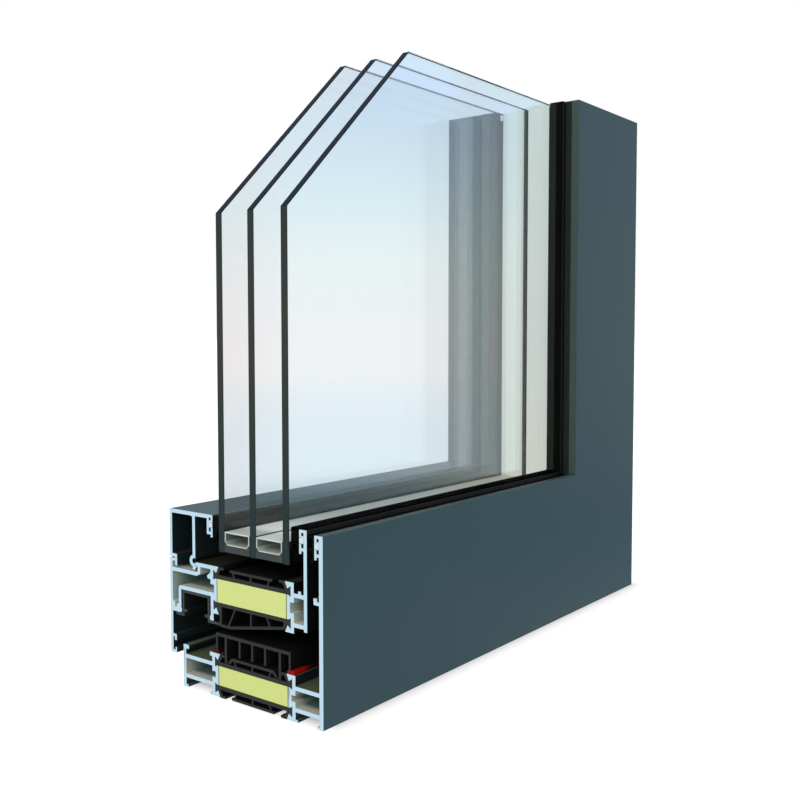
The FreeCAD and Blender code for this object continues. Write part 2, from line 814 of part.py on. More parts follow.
def sash_liner():
    """Liner of the hardware groove: a U with inward lips and flanges under the groove's edges."""
    room = HARDWARE_IN - S.liner_play
    out = HARDWARE_OUT + S.liner_play
    top = HARDWARE_CEILING - S.fit
    shelf = HARDWARE_LOW - S.fit
    under = shelf - S.liner_lip_height
    lip_low = HARDWARE_LOW + S.liner_lip_rise
    lip_top = lip_low + S.liner_lip_height
    return [[
        (room, top),
        (out, top),
        (out, shelf),
        (SLOPE_LEG_FACE + S.fit, shelf),
        (SLOPE_LEG_FACE + S.fit, under),
        (out + S.liner_wall, under),
        (out + S.liner_wall, lip_low),
        (out + S.liner_wall + S.liner_lip_reach, lip_low),
        (out + S.liner_wall + S.liner_lip_reach, lip_top),
        (out + S.liner_wall, lip_top),
        (out + S.liner_wall, top - S.liner_wall),
        (room - S.liner_wall, top - S.liner_wall),
        (room - S.liner_wall, lip_top),
        (room - S.liner_wall - S.liner_lip_reach, lip_top),
        (room - S.liner_wall - S.liner_lip_reach, lip_low),
        (room - S.liner_wall, lip_low),
        (room - S.liner_wall, under),
        (room + S.liner_flange_reach, under),
        (room + S.liner_flange_reach, shelf),
        (room, shelf),
    ]]


def gasket_root(back, side, top):
    """The root of a gasket in its groove, from the upper edge of its neck to the lower one."""
    near = back + (GROOVE_WIDTH + S.fit) * side
    throat = back + (S.groove_depth - S.fit) * side
    deep = back + S.fit * side
    slot = top - S.slot_drop - S.fit
    slot_low = top - S.slot_drop - S.slot_height + S.fit
    return [
        (near, slot),
        (throat, slot),
        (throat, top - S.groove_floor - S.fit),
        (deep, top - S.groove_floor - S.fit),
        (deep, top - S.groove_height + S.groove_floor + S.fit),
        (throat, top - S.groove_height + S.groove_floor + S.fit),
        (throat, slot_low),
        (near, slot_low),
    ]


def rebate_gasket():
    """Gasket on the frame's flange, with two lips that close on the sash and a short tail."""
    near = S.flange_wall + GROOVE_WIDTH + S.fit
    strip = near + S.gasket_base
    reach = S.sash_setback - S.fit
    top = FLANGE_TOP - S.gasket_top_drop
    mid = top - S.mid_lip_drop
    tail = top - S.tail_lip_drop
    return [gasket_root(S.flange_wall, 1, FLANGE_TOP) + [
        (near, tail),
        (strip + S.tail_lip_reach, tail),
        (strip + S.tail_lip_reach, tail + S.tail_lip),
        (strip, tail + S.tail_lip),
        (strip, mid - S.gasket_lip),
        (reach, mid - S.gasket_lip),
        (reach, mid),
        (strip, mid),
        (strip, top - S.gasket_lip),
        (reach, top - S.gasket_lip),
        (reach, top),
        (near, top),
    ]]


def glazing_gasket_outer():
    """Gasket on the sash flange, whose cap covers the tip and whose lower lip bends on to the glass."""
    near = SASH_FLANGE_BACK + GROOVE_WIDTH + S.fit
    strip = near + S.gasket_base
    reach = GLASS_OUT - S.glass_lip_gap
    touch = GLASS_OUT - S.fit
    top = SASH_TOP + S.gasket_top_rise
    mid = top - S.mid_lip_drop - S.gasket_top_rise
    tip = mid - S.glass_lip_drop
    cap = S.sash_setback + S.gasket_cap_inset
    return [gasket_root(SASH_FLANGE_BACK, 1, SASH_TOP) + [
        (near, tip),
        (strip, tip),
        (strip, mid - S.gasket_lip),
        (reach - S.gasket_lip, mid - S.gasket_lip),
        (touch - S.gasket_lip, tip),
        (touch, tip),
        (touch, tip + S.gasket_lip),
        (reach, mid),
        (strip, mid),
        (strip, top - S.gasket_lip),
        (reach, top - S.gasket_lip),
        (reach, top),
        (cap, top),
        (cap, SASH_TOP + S.fit),
        (near, SASH_TOP + S.fit),
    ]]


def glazing_gasket_inner():
    """Wedge gasket between the bead and the glass."""
    near = BEAD_TIP - S.fit
    touch = GLASS_IN + S.fit
    top = SASH_TOP - S.gasket_top_drop
    low = top - S.inner_seal_drop
    return [gasket_root(BEAD_TIP + GROOVE_WIDTH, -1, SASH_TOP) + [
        (near, low),
        (touch + S.inner_taper, low),
        (touch, low + S.inner_taper_rise),
        (touch, top),
        (near, top),
    ]]


def cavity(step):
    """The two glass faces beside a cavity: step 0 is the outdoor one."""
    start = GLASS_OUT + GLASS_STEP * step + S.pane_thick
    return start, start + S.pane_gap


def tub(low_y, high_y, low_z, high_z, chamfer):
    """A rectangle with both lower corners cut off."""
    return [
        (low_y, high_z),
        (low_y, low_z + chamfer),
        (low_y + chamfer, low_z),
        (high_y - chamfer, low_z),
        (high_y, low_z + chamfer),
        (high_y, high_z),
    ]


def spacer(step):
    """Hollow spacer bar between two panes."""
    start, end = cavity(step)
    skin = S.spacer_wall
    shell = tub(start + S.butyl, end - S.butyl, SPACER_LOW, SPACER_TOP, S.spacer_chamfer)
    bore = tub(start + S.butyl + skin, end - S.butyl - skin, SPACER_LOW + skin, SPACER_TOP - skin,
               S.spacer_chamfer - skin * CHAMFER_INSET)
    return [shell, bore]


def sealant(step):
    """Sealant that fills the edge of the glass unit and goes up both sides of a spacer."""
    start, end = cavity(step)
    low = GLASS_LOW + S.sealant_recess
    top = SPACER_TOP - S.butyl_drop
    rim = tub(start + S.butyl, end - S.butyl, SPACER_LOW, top, S.spacer_chamfer)
    return [[(start, low), (start, top)] + rim + [(end, top), (end, low)]]


def spacer_outer():
    """Spacer of the outdoor cavity."""
    return spacer(0)


def spacer_inner():
    """Spacer of the room side cavity."""
    return spacer(1)


def sealant_outer():
    """Sealant of the outdoor cavity."""
    return sealant(0)


def sealant_inner():
    """Sealant of the room side cavity."""
    return sealant(1)


SECTIONS = [
    frame_outer,
    frame_inner,
    frame_break_upper,
    frame_break_lower,
    frame_foam,
    frame_comb,
    frame_seal_outer,
    frame_seal_inner,
    rebate_gasket,
    sash_outer,
    sash_inner,
    sash_break_upper,
    sash_break_lower,
    sash_foam,
    sash_liner,
    bead,
    glazing_gasket_outer,
    glazing_gasket_inner,
    spacer_outer,
    spacer_inner,
    sealant_outer,
    sealant_inner,
]


def sign(value):
    """-1, 0 or 1."""
    return (value > 1e-9) - (value < -1e-9)


def rounded(loop):
    """The loop with each corner that has a radius turned into two points and a bend."""
    result = []
    for index, item in enumerate(loop):
        if isinstance(item, Bend) or len(item) == 2:
            result.append(item)
            continue
        y, z, radius = item
        radius = as_size(radius)
        before, after = loop[index - 1], loop[(index + 1) % len(loop)]
        in_y, in_z = sign(before[0].value - y.value), sign(before[1].value - z.value)
        out_y, out_z = sign(after[0].value - y.value), sign(after[1].value - z.value)
        turn = sign(in_z * out_y - in_y * out_z)
        result.append((y + radius * in_y, z + radius * in_z))
        result.append(Bend(radius, turn))
        result.append((y + radius * out_y, z + radius * out_z))
    return result


def origin_plane(body, role):
    """One of the body's own origin planes."""
    return next(plane for plane in body.Origin.OriginFeatures if plane.Role == role)


def place(body, x, y, turn=0):
    """Put the body at x and y of the sample, turned about Y by some degrees."""
    body.Placement = FreeCAD.Placement(
        FreeCAD.Vector(x.value, y.value, 0), FreeCAD.Rotation(FreeCAD.Vector(0, 1, 0), turn))
    body.setExpression("Placement.Base.x", x.text)
    body.setExpression("Placement.Base.y", y.text)


class Drawing:
    """Collects the edges, constraints and formulas of a sketch."""

    def __init__(self):
        self.edges = []
        self.constraints = []
        self.formulas = {}

    def bind(self, kind, name, value, *where):
        """Add a measured constraint that follows the sheet."""
        constraint = Sketcher.Constraint(kind, *where, value.value)
        constraint.Name = name
        self.constraints.append(constraint)
        self.formulas[name] = value.text

    def loop(self, items):
        """Add a closed loop of straight edges and bends."""
        items = rounded(items)
        points = [item for item in items if not isinstance(item, Bend)]
        bends = {}
        count = 0
        for item in items:
            if isinstance(item, Bend):
                bends[count - 1] = item
            else:
                count += 1
        first = len(self.edges)
        ends = []
        for index, start in enumerate(points):
            end = points[(index + 1) % len(points)]
            edge = len(self.edges)
            if index in bends:
                bend = bends[index]
                self.edges.append(bend.curve(start, end))
                ends.append((1, 2) if bend.turn > 0 else (2, 1))
                self.bind("Radius", f"r{edge}", bend.radius, edge)
            else:
                near = FreeCAD.Vector(start[0].value, start[1].value, 0)
                far = FreeCAD.Vector(end[0].value, end[1].value, 0)
                self.edges.append(Part.LineSegment(near, far))
                ends.append((1, 2))
        for index, start in enumerate(points):
            edge = first + index
            following = (index + 1) % len(points)
            self.constraints.append(Sketcher.Constraint(
                "Coincident", edge, ends[index][1], first + following, ends[following][0]))
            self.bind("DistanceX", f"x{edge}", as_size(start[0]), -1, 1, edge, ends[index][0])
            self.bind("DistanceY", f"y{edge}", as_size(start[1]), -1, 1, edge, ends[index][0])

    def write(self, body, name, role):
        """Put the drawing in a sketch on one of the body's origin planes."""
        sketch = body.newObject("Sketcher::SketchObject", name)
        sketch.AttachmentSupport = [(origin_plane(body, role), "")]
        sketch.MapMode = "FlatFace"
        sketch.addGeometry(self.edges, False)
        sketch.addConstraint(self.constraints)
        for constraint, text in self.formulas.items():
            sketch.setExpression(f"Constraints.{constraint}", text)
        return sketch


def draw(body, name, role, loops):
    """A sketch of closed loops whose points follow the sheet."""
    drawing = Drawing()
    for items in loops:
        drawing.loop(items)
    return drawing.write(body, name, role)


def mitred(name, section, jamb):
    """A length of profile with a square end and a mitred end, as a rail or turned up as a jamb."""
    body = DOC.addObject("PartDesign::Body", name)
    body.Label = name
    outline = draw(body, f"{name}_section", "YZ_Plane", section())
    length = S.jamb_height if jamb else S.rail_length
    pad = body.newObject("PartDesign::Pad", f"{name}_length")
    pad.Profile = outline
    pad.setExpression("Length", length.text)
    margin = S.wall
    reach = SASH_TOP + margin
    if jamb:
        waste = [(-margin, -margin), (reach, reach), (-margin, reach)]
    else:
        waste = [(length + margin, -margin), (length + margin, reach), (length - reach, reach)]
    corner = draw(body, f"{name}_corner", "XZ_Plane", [waste])
    mitre = body.newObject("PartDesign::Pocket", f"{name}_mitre")
    mitre.Profile = corner
    mitre.Type = "ThroughAll"
    mitre.Midplane = True
    outline.Visibility = corner.Visibility = False
    if jamb:
        place(body, HALF_LENGTH, -HALF_DEPTH, turn=-90)
    else:
        place(body, -HALF_LENGTH, -HALF_DEPTH)
    return body, outline, length


def pane(name, step):
    """A glass pane with its upper outer corner cut off."""
    body = DOC.addObject("PartDesign::Body", name)
    body.Label = name
    corner = S.rail_length - GLASS_LOW
    outline = draw(body, f"{name}_outline", "XZ_Plane", [[
        (ZERO, GLASS_LOW),
        (corner, GLASS_LOW),
        (corner, S.jamb_height),
        (S.cut_run, S.jamb_height),
        (ZERO, S.cut_rise),
    ]])
    pad = body.newObject("PartDesign::Pad", f"{name}_thickness")
    pad.Profile = outline
    pad.Reversed = True
    pad.setExpression("Length", S.pane_thick.text)
    place(body, -HALF_LENGTH, GLASS_OUT + GLASS_STEP * step - HALF_DEPTH)
    return body


def check_mitre(body, outline, length):
    """Compare a mitred length with its section area times the length at the section's centroid."""
    face = Part.makeFace(outline.Shape, "Part::FaceMakerBullseye")
    expected = face.Area * (length.value - face.CenterOfMass.z)
    volume = body.Shape.Volume
    if abs(volume - expected) > 1e-4 * expected:
        raise ValueError(f"{body.Label}: volume {volume:.1f}, expected {expected:.1f}")


def check_states():
    """Stop at an object that failed to recompute."""
    for item in DOC.Objects:
        if {"Invalid", "Error"} & set(item.State):
            raise ValueError(f"{item.Name}: {item.State}")


def main():
    """Build every piece, check it and write it to parts/."""
    os.makedirs("parts", exist_ok=True)
    lengths = [
        mitred(f"{section.__name__}_{'jamb' if jamb else 'rail'}", section, jamb)
        for section in SECTIONS
        for jamb in (False, True)
    ]
    panes = [pane(name, step) for step, name in enumerate(("pane_outer", "pane_middle", "pane_inner"))]
    DOC.recompute()
    check_states()
    for body, outline, length in lengths:
        check_mitre(body, outline, length)
    for body in [entry[0] for entry in lengths] + panes:
        shape = body.Shape
        if shape.isNull() or not shape.isValid() or len(shape.Solids) != 1:
            raise ValueError(f"{body.Label}: bad shape")
        shape.exportStep(f"parts/{body.Label}.step")
        print(body.Label, round(shape.Volume / 1000, 2), "cm3")


main()
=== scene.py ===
"""Studio scene of a cut corner of an aluminium window: rail, jamb, sash and triple glazing.

Lengths are in metres in the part's frame, where X runs along the rail to the mitred corner, Y from
outdoors into the room and Z up along the jamb. Only the boxes that mark a place in the section are
in millimetres.
"""

import logging
import math
from dataclasses import dataclass
from enum import Enum
from typing import Any, ClassVar, Mapping, Sequence

import bmesh
import bpy
from mathutils import Matrix, Vector


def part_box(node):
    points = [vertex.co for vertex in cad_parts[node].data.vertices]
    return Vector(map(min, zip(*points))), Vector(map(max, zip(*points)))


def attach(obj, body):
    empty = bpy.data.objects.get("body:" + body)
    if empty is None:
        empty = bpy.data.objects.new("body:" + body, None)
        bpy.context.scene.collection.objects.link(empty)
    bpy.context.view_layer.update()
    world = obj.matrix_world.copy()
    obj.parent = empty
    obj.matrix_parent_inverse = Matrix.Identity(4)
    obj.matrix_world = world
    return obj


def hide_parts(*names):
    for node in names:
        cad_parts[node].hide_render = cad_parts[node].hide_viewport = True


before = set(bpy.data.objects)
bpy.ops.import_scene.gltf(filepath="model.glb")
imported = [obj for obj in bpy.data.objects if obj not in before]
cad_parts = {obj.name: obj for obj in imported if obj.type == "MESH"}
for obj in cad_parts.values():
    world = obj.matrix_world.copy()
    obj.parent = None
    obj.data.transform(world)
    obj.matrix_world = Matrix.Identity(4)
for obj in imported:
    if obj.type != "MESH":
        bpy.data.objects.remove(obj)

log = logging.getLogger("window_corner")

Colour = tuple[float, float, float]
Point = tuple[float, float, float]
Range = tuple[float, float]
Box = tuple[float, float, float, float]

WHITE: Colour = (1.0, 1.0, 1.0)
MM_PER_METRE = 1000
IMAGE_SIDE = 800


def srgb(red: int, green: int, blue: int) -> Colour:
    """Turn a colour as it looks on screen, 0 to 255, into the linear values that shaders take.

    Args:
        red: Red, 0 to 255.
        green: Green, 0 to 255.
        blue: Blue, 0 to 255.

    Returns:
        The linear colour.
    """
    def linear(value: float) -> float:
        """One channel from display to linear."""
        return value / 12.92 if value <= 0.04045 else ((value + 0.055) / 1.055) ** 2.4

    return linear(red / 255), linear(green / 255), linear(blue / 255)


class Run(Enum):
    """Which length of profile a piece belongs to."""

    RAIL = "rail"
    JAMB = "jamb"

    @property
    def axis(self) -> int:
        """Index of the axis that it runs along."""
        return 0 if self is Run.RAIL else 2


@dataclass(frozen=True)
class Sample:
    """Outer sizes of the cut corner, which finishes and pieces share."""

    half_length: float = 0.15475
    half_depth: float = 0.0485
    height: float = 0.3027


SAMPLE = Sample()


class Number:
    """A value in a material, on which Python's operators add Math nodes."""

    def __init__(self, tree: "Tree", socket: bpy.types.NodeSocket) -> None:
        """Wrap an output socket of a tree."""
        self.tree = tree
        self.socket = socket

    def __add__(self, other: "Value") -> "Number":
        """Sum."""
        return self.tree.maths("ADD", self, other)

    def __radd__(self, other: "Value") -> "Number":
        """Sum with the number on the left."""
        return self.tree.maths("ADD", other, self)

    def __sub__(self, other: "Value") -> "Number":
        """Difference."""
        return self.tree.maths("SUBTRACT", self, other)

    def __rsub__(self, other: "Value") -> "Number":
        """Difference with the number on the left."""
        return self.tree.maths("SUBTRACT", other, self)

    def __mul__(self, other: "Value") -> "Number":
        """Product."""
        return self.tree.maths("MULTIPLY", self, other)

    def __rmul__(self, other: "Value") -> "Number":
        """Product with the number on the left."""
        return self.tree.maths("MULTIPLY", other, self)

    def __neg__(self) -> "Number":
        """Opposite."""
        return self.tree.maths("MULTIPLY", self, -1.0)

    def __abs__(self) -> "Number":
        """Size without its sign."""
        return self.tree.maths("ABSOLUTE", self)

    def below(self, limit: "Value") -> "Number":
        """1 where the value is under a limit, else 0."""
        return self.tree.maths("LESS_THAN", self, limit)

    def above(self, limit: "Value") -> "Number":
        """1 where the value is over a limit, else 0."""
        return self.tree.maths("GREATER_THAN", self, limit)

    def between(self, low: float, high: float) -> "Number":
        """1 where the value is between two limits, else 0."""
        return self.above(low) * self.below(high)

    def most(self, other: "Value") -> "Number":
        """The larger of two values."""
        return self.tree.maths("MAXIMUM", self, other)

    def rise(self, start: float, end: float) -> "Number":
        """Go smoothly from 0 at start to 1 at end."""
        node = self.tree.add(
            "ShaderNodeMapRange", {"interpolation_type": "SMOOTHSTEP"},
            {"Value": self, "From Min": start, "From Max": end})
        return Number(self.tree, node.outputs["Result"])

    def span(self, limits: Range) -> "Number":
        """Stretch a value of 0 to 1 from the first limit to the second."""
        first, second = limits
        return first + self * (second - first)


Value = Number | float


class Tree:
    """Builds the node tree of a material or of the world."""

    def __init__(self, nodes: bpy.types.NodeTree) -> None:
        """Take over a node tree and empty it."""
        self.nodes = nodes
        nodes.nodes.clear()

    @classmethod
    def material(cls, name: str) -> tuple["Tree", bpy.types.Material]:
        """Start a new material.

        Args:
            name: Name of the material.

        Returns:
            Its tree and the material.
        """
        made = bpy.data.materials.new(name)
        made.use_nodes = True
        return cls(made.node_tree), made

    def add(
        self,
        kind: str,
        settings: Mapping[str, Any] | None = None,
        inputs: Mapping[str | int, Any] | None = None,
    ) -> bpy.types.Node:
        """Add a node.

        Args:
            kind: Type of the node.
            settings: Its properties, set first; "stops" gives the stops of a ramp.
            inputs: Values or links of its sockets, by name or index.

        Returns:
            The node.
        """
        node = self.nodes.nodes.new(kind)
        for key, value in (settings or {}).items():
            if key == "stops":
                self._stops(node, value)
            else:
                setattr(node, key, value)
        for key, value in (inputs or {}).items():
            source = value.socket if isinstance(value, Number) else value
            if isinstance(source, bpy.types.NodeSocket):
                self.nodes.links.new(source, node.inputs[key])
            elif isinstance(source, tuple) and node.inputs[key].type == "RGBA":
                node.inputs[key].default_value = (*source, 1.0)
            else:
                node.inputs[key].default_value = source
        return node

    @staticmethod
    def _stops(node: bpy.types.Node, stops: Sequence[tuple[float, Colour]]) -> None:
        """Set the stops of a colour ramp.

        Args:
            node: The ramp.
            stops: Position and colour of each stop.
        """
        elements = node.color_ramp.elements
        while len(elements) < len(stops):
            elements.new(0.5)
        for element, (position, colour) in zip(elements, stops):
            element.position = position
            element.color = (*colour, 1.0)

    def maths(self, operation: str, *values: Value) -> Number:
        """What a Math node works out from some values."""
        node = self.add("ShaderNodeMath", {"operation": operation}, dict(enumerate(values)))
        return Number(self, node.outputs[0])

    def mix(self, share: Value, first: Any, second: Any) -> bpy.types.NodeSocket:
        """Blend two colours, with that share of the second one."""
        node = self.add("ShaderNodeMix", {"data_type": "RGBA"}, {0: share, 6: first, 7: second})
        return node.outputs[2]

    def tint(self, colour: Any, factor: Any) -> bpy.types.NodeSocket:
        """Multiply a colour by another colour."""
        settings = {"data_type": "RGBA", "blend_type": "MULTIPLY"}
        return self.add("ShaderNodeMix", settings, {0: 1.0, 6: colour, 7: factor}).outputs[2]

    def grey(self, value: Value) -> bpy.types.NodeSocket:
        """A grey of that value."""
        return self.add("ShaderNodeCombineColor", None, {0: value, 1: value, 2: value}).outputs[0]

    def shade(self, colour: Any, value: Value) -> bpy.types.NodeSocket:
        """Make a colour darker or lighter by a factor."""
        return self.tint(colour, self.grey(value))

    def vector(self, x: Value, y: Value, z: Value) -> bpy.types.NodeSocket:
        """A vector of three values."""
        return self.add("ShaderNodeCombineXYZ", None, {0: x, 1: y, 2: z}).outputs[0]

    def point(self) -> tuple[Number, Number, Number]:
        """The shaded point's X, Y and Z in the part's frame."""
        return self._coordinates("Object")

    def normal(self) -> tuple[Number, Number, Number]:
        """The surface's X, Y and Z direction in the part's frame."""
        return self._coordinates("Normal")

    def direction(self) -> tuple[Number, Number, Number]:
        """X, Y and Z of the direction in which the world is looked at."""
        return self._coordinates("Generated")

    def _coordinates(self, kind: str) -> tuple[Number, Number, Number]:
        """The three values of one of the texture coordinates.

        Args:
            kind: Which coordinate.

        Returns:
            Its X, Y and Z.
        """
        where = self.add("ShaderNodeTexCoord").outputs[kind]
        parts = self.add("ShaderNodeSeparateXYZ", None, {0: where})
        return tuple(Number(self, socket) for socket in parts.outputs)

    def grains(self, count: float, across: float | None = None) -> bpy.types.NodeSocket:
        """Coordinates of even grains.

        Args:
            count: Grains to a metre.
            across: Grains to a metre through the depth, where that differs.

        Returns:
            The coordinates, one unit to a grain.
        """
        x, y, z = self.point()
        return self.vector(x * count, y * (across or count), z * count)

    def noise(self, place: bpy.types.NodeSocket, detail: float = 2.0) -> Number:
        """Smooth noise from 0 to 1 with grains of about one unit of place."""
        inputs = {"Vector": place, "Scale": 1.0, "Detail": detail}
        return Number(self, self.add("ShaderNodeTexNoise", None, inputs).outputs[0])

    def line_noise(self, place: Number, detail: float = 2.0) -> Number:
        """Noise along one value, with grains of about one unit."""
        node = self.add("ShaderNodeTexNoise", {"noise_dimensions": "1D"}, {
            "W": place, "Scale": 1.0, "Detail": detail})
        return Number(self, node.outputs[0])

    def cells(self, place: bpy.types.NodeSocket) -> Number:
        """Distance to the nearest of scattered points, one to each unit of place."""
        node = self.add("ShaderNodeTexVoronoi", {"feature": "F1"}, {"Vector": place, "Scale": 1.0})
        return Number(self, node.outputs["Distance"])

    def bump(self, height: Number, depth: float, strength: float) -> bpy.types.NodeSocket:
        """A normal from a height of 0 to 1 that stands for a depth."""
        inputs = {"Height": height, "Distance": depth, "Strength": strength}
        return self.add("ShaderNodeBump", None, inputs).outputs[0]

    def ray(self, *kinds: str) -> Number:
        """Tell kinds of rays apart.

        Args:
            kinds: Names of Light Path's outputs.

        Returns:
            1 for rays of any of the kinds, else 0.
        """
        path = self.add("ShaderNodeLightPath")
        found = Number(self, path.outputs[kinds[0]])
        for kind in kinds[1:]:
            found = found.most(Number(self, path.outputs[kind]))
        return found

    def surface(self, inputs: Mapping[str, Any]) -> None:
        """Show the main shader with these inputs."""
        self.show(self.add("ShaderNodeBsdfPrincipled", None, inputs).outputs[0])

    def show(self, shader: bpy.types.NodeSocket) -> None:
        """Connect a shader to the material's output."""
        self.add("ShaderNodeOutputMaterial", None, {"Surface": shader})


@dataclass
class Section:
    """Where a shaded point lies in a length of profile."""

    tree: Tree
    run: Run
    along: Number
    depth: Number
    height: Number
    mitre: Number
    rising: Number
    sawn_reach: ClassVar[float] = 0.00008
    saw_hub: ClassVar[Range] = (-0.11, 0.21)

    @classmethod
    def read(cls, tree: Tree, run: Run) -> "Section":
        """Work out the place from the part's coordinates.

        Args:
            tree: Material to add the nodes to.
            run: Rail or jamb.

        Returns:
            Distance from the cut end, depth from the outdoor face, height from the outer edge,
            distance from the mitre, and how far the surface faces away from the outer edge.
        """
        x, y, z = tree.point()
        face_x, _, face_z = tree.normal()
        depth = y + SAMPLE.half_depth
        mitre = abs(SAMPLE.half_length - x - z)
        if run is Run.RAIL:
            return cls(tree, run, x + SAMPLE.half_length, depth, z, mitre, face_z)
        return cls(tree, run, SAMPLE.height - z, depth, SAMPLE.half_length - x, mitre, -face_x)

    def within(self, boxes: Sequence[Box]) -> Value:
        """Mark boxes of the section.

        Args:
            boxes: Depth and height from, and depth and height to, of each box, in millimetres.

        Returns:
            1 inside any of the boxes, else 0.
        """
        found: Value = 0.0
        for box in boxes:
            near, low, far, high = (value / MM_PER_METRE for value in box)
            inside = self.depth.between(near, far) * self.height.between(low, high)
            found = inside if isinstance(found, float) else found.most(inside)
        return found

    def cut(self) -> Number:
        """1 on the sawn end."""
        return self.along.below(self.sawn_reach)

    def streaks(self, length: float, width: float) -> bpy.types.NodeSocket:
        """Coordinates for streaks along the run, with their length and width."""
        return self.tree.vector(
            self.along * (1 / length), self.depth * (1 / width), self.height * (1 / width))

    def arcs(self, pitch: float) -> Number:
        """Draw the fine arcs that a large saw blade leaves on the cut end.

        Args:
            pitch: Distance from arc to arc.

        Returns:
            Noise from 0 to 1.
        """
        hub_depth, hub_height = self.saw_hub
        across = self.depth - hub_depth
        up = self.height - hub_height
        radius = self.tree.maths("SQRT", across * across + up * up)
        return self.tree.line_noise(radius * (1 / pitch))


@dataclass(frozen=True)
class Finish:
    """A finish on lengths of profile, with a material for the rails and one for the jambs.

    In each finish a streak is the length and width of its grains, a tone is how dark and how light
    they make the colour, and the relief is the depth and the strength of its bump.
    """

    name: str

    def make(self, run: Run) -> bpy.types.Material:
        """Build the material.

        Args:
            run: Rail or jamb.

        Returns:
            The material.
        """
        tree, made = Tree.material(f"{self.name}_{run.value}")
        tree.surface(self.sockets(Section.read(tree, run)))
        return made

    def sockets(self, place: Section) -> dict[str, Any]:
        """Work out what the main shader is given.

        Args:
            place: Where the shaded point lies.

        Returns:
            Values or links by the names of the shader's sockets.
        """
        raise NotImplementedError


@dataclass(frozen=True)
class CoatedAluminium(Finish):
    """Powder coated aluminium with painted shade inside, pale bare hollows and a freshly sawn end.

    The boxes mark the tip of a flange, the insides and the bare hollows of the section. A face that
    looks up by more than floor_from is a floor. The tip's floor takes a painted light tone, the
    insides take painted shade with painted light on their floors, and the floors of bare hollows
    take painted light. Behind the sawn end the walls and floors of a hollow turn to painted shade
    within a range of their own.
    """

    name: str = "coated_aluminium"
    coat: Colour = srgb(48, 74, 82)
    # painted light: the tone of the flange tip's face that looks up, the same coat lit
    painted_light_tip: Colour = srgb(62, 78, 75)
    # painted shade on the faces inside the insides boxes, where little light reaches
    inside: Colour = srgb(27, 37, 39)
    # painted light: the floors of the insides, lit from above
    painted_light_ledge: Colour = srgb(48, 47, 38)
    hollow: Colour = srgb(196, 202, 192)
    # painted light: the floors of the bare hollows, lit from above
    painted_light_hollow_floor: Colour = srgb(216, 210, 192)
    # painted shade: the colour that a hollow's walls and floors turn to behind the sawn end, as
    # little light reaches that far in
    painted_shade: Colour = srgb(114, 141, 137)
    painted_shade_share: float = 0.0
    painted_shade_walls: Range = (0.0, 0.014)
    painted_shade_floors: Range = (0.0035, 0.0068)
    sawn: Colour = srgb(198, 225, 240)
    sawn_light: Colour = srgb(214, 235, 247)
    tip_boxes: tuple[Box, ...] = ()
    inside_boxes: tuple[Box, ...] = ()
    hollow_boxes: tuple[Box, ...] = ()
    floor_from: float = 0.6
    powder: float = 1400.0
    clouds: float = 22.0
    streak: Range = (0.05, 0.0006)
    saw_pitch: float = 0.00035
    seam_width: float = 0.00016
    seam_dim: float = 0.3
    coat_tone: Range = (0.95, 1.05)
    hollow_tone: Range = (0.9, 1.1)
    sawn_tone: Range = (0.97, 1.03)
    coat_rough: Range = (0.42, 0.58)
    hollow_rough: Range = (0.42, 0.62)
    sawn_rough: Range = (0.36, 0.48)
    hollow_metal: float = 0.25
    sawn_metal: float = 0.55
    shine: float = 0.25
    relief: Range = (0.00002, 0.55)

    def sockets(self, place: Section) -> dict[str, Any]:
        """Work out what the main shader is given.

        Args:
            place: Where the shaded point lies.

        Returns:
            Values or links by the names of the shader's sockets.
        """
        tree = place.tree
        sawn = place.cut()
        level = place.rising.above(self.floor_from)
        bare = place.within(self.hollow_boxes)
        inside = place.within(self.inside_boxes)
        fine = tree.noise(tree.grains(self.powder), detail=3.0)
        broad = tree.noise(tree.grains(self.clouds))
        drawn = tree.noise(place.streaks(*self.streak), detail=3.0)
        arcs = place.arcs(self.saw_pitch)
        # painted light on the flange tip's face that looks up
        coat = tree.mix(level * place.within(self.tip_boxes), self.coat, self.painted_light_tip)
        # painted shade on the insides, with painted light on their floors
        coat = tree.mix(inside, coat, tree.mix(level, self.inside, self.painted_light_ledge))
        seam = place.mitre.below(self.seam_width) * (1 - inside)
        coat = tree.shade(coat, broad.span(self.coat_tone) * (1 - seam * self.seam_dim))
        # painted light on the bare hollows' floors
        metal = tree.mix(level, self.hollow, self.painted_light_hollow_floor)
        # painted shade deeper in a hollow, away from the sawn end
        if self.painted_shade_share:
            walls = place.along.rise(*self.painted_shade_walls) * (1 - level)
            floors = place.along.rise(*self.painted_shade_floors) * level
            metal = tree.mix((walls + floors) * self.painted_shade_share, metal, self.painted_shade)
        metal = tree.shade(metal, drawn.span(self.hollow_tone))
        ends = tree.shade(tree.mix(arcs, self.sawn, self.sawn_light), arcs.span(self.sawn_tone))
        rough = fine.span(self.coat_rough) * (1 - bare) + bare * drawn.span(self.hollow_rough)
        height = fine * (1 - bare) * (1 - sawn) + drawn * bare + arcs * sawn
        return {
            "Base Color": tree.mix(sawn, tree.mix(bare, coat, metal), ends),
            "Roughness": rough * (1 - sawn) + sawn * arcs.span(self.sawn_rough),
            "Metallic": (sawn * self.sawn_metal).most(bare * self.hollow_metal),
            "Specular IOR Level": self.shine,
            "Normal": tree.bump(height, *self.relief),
        }


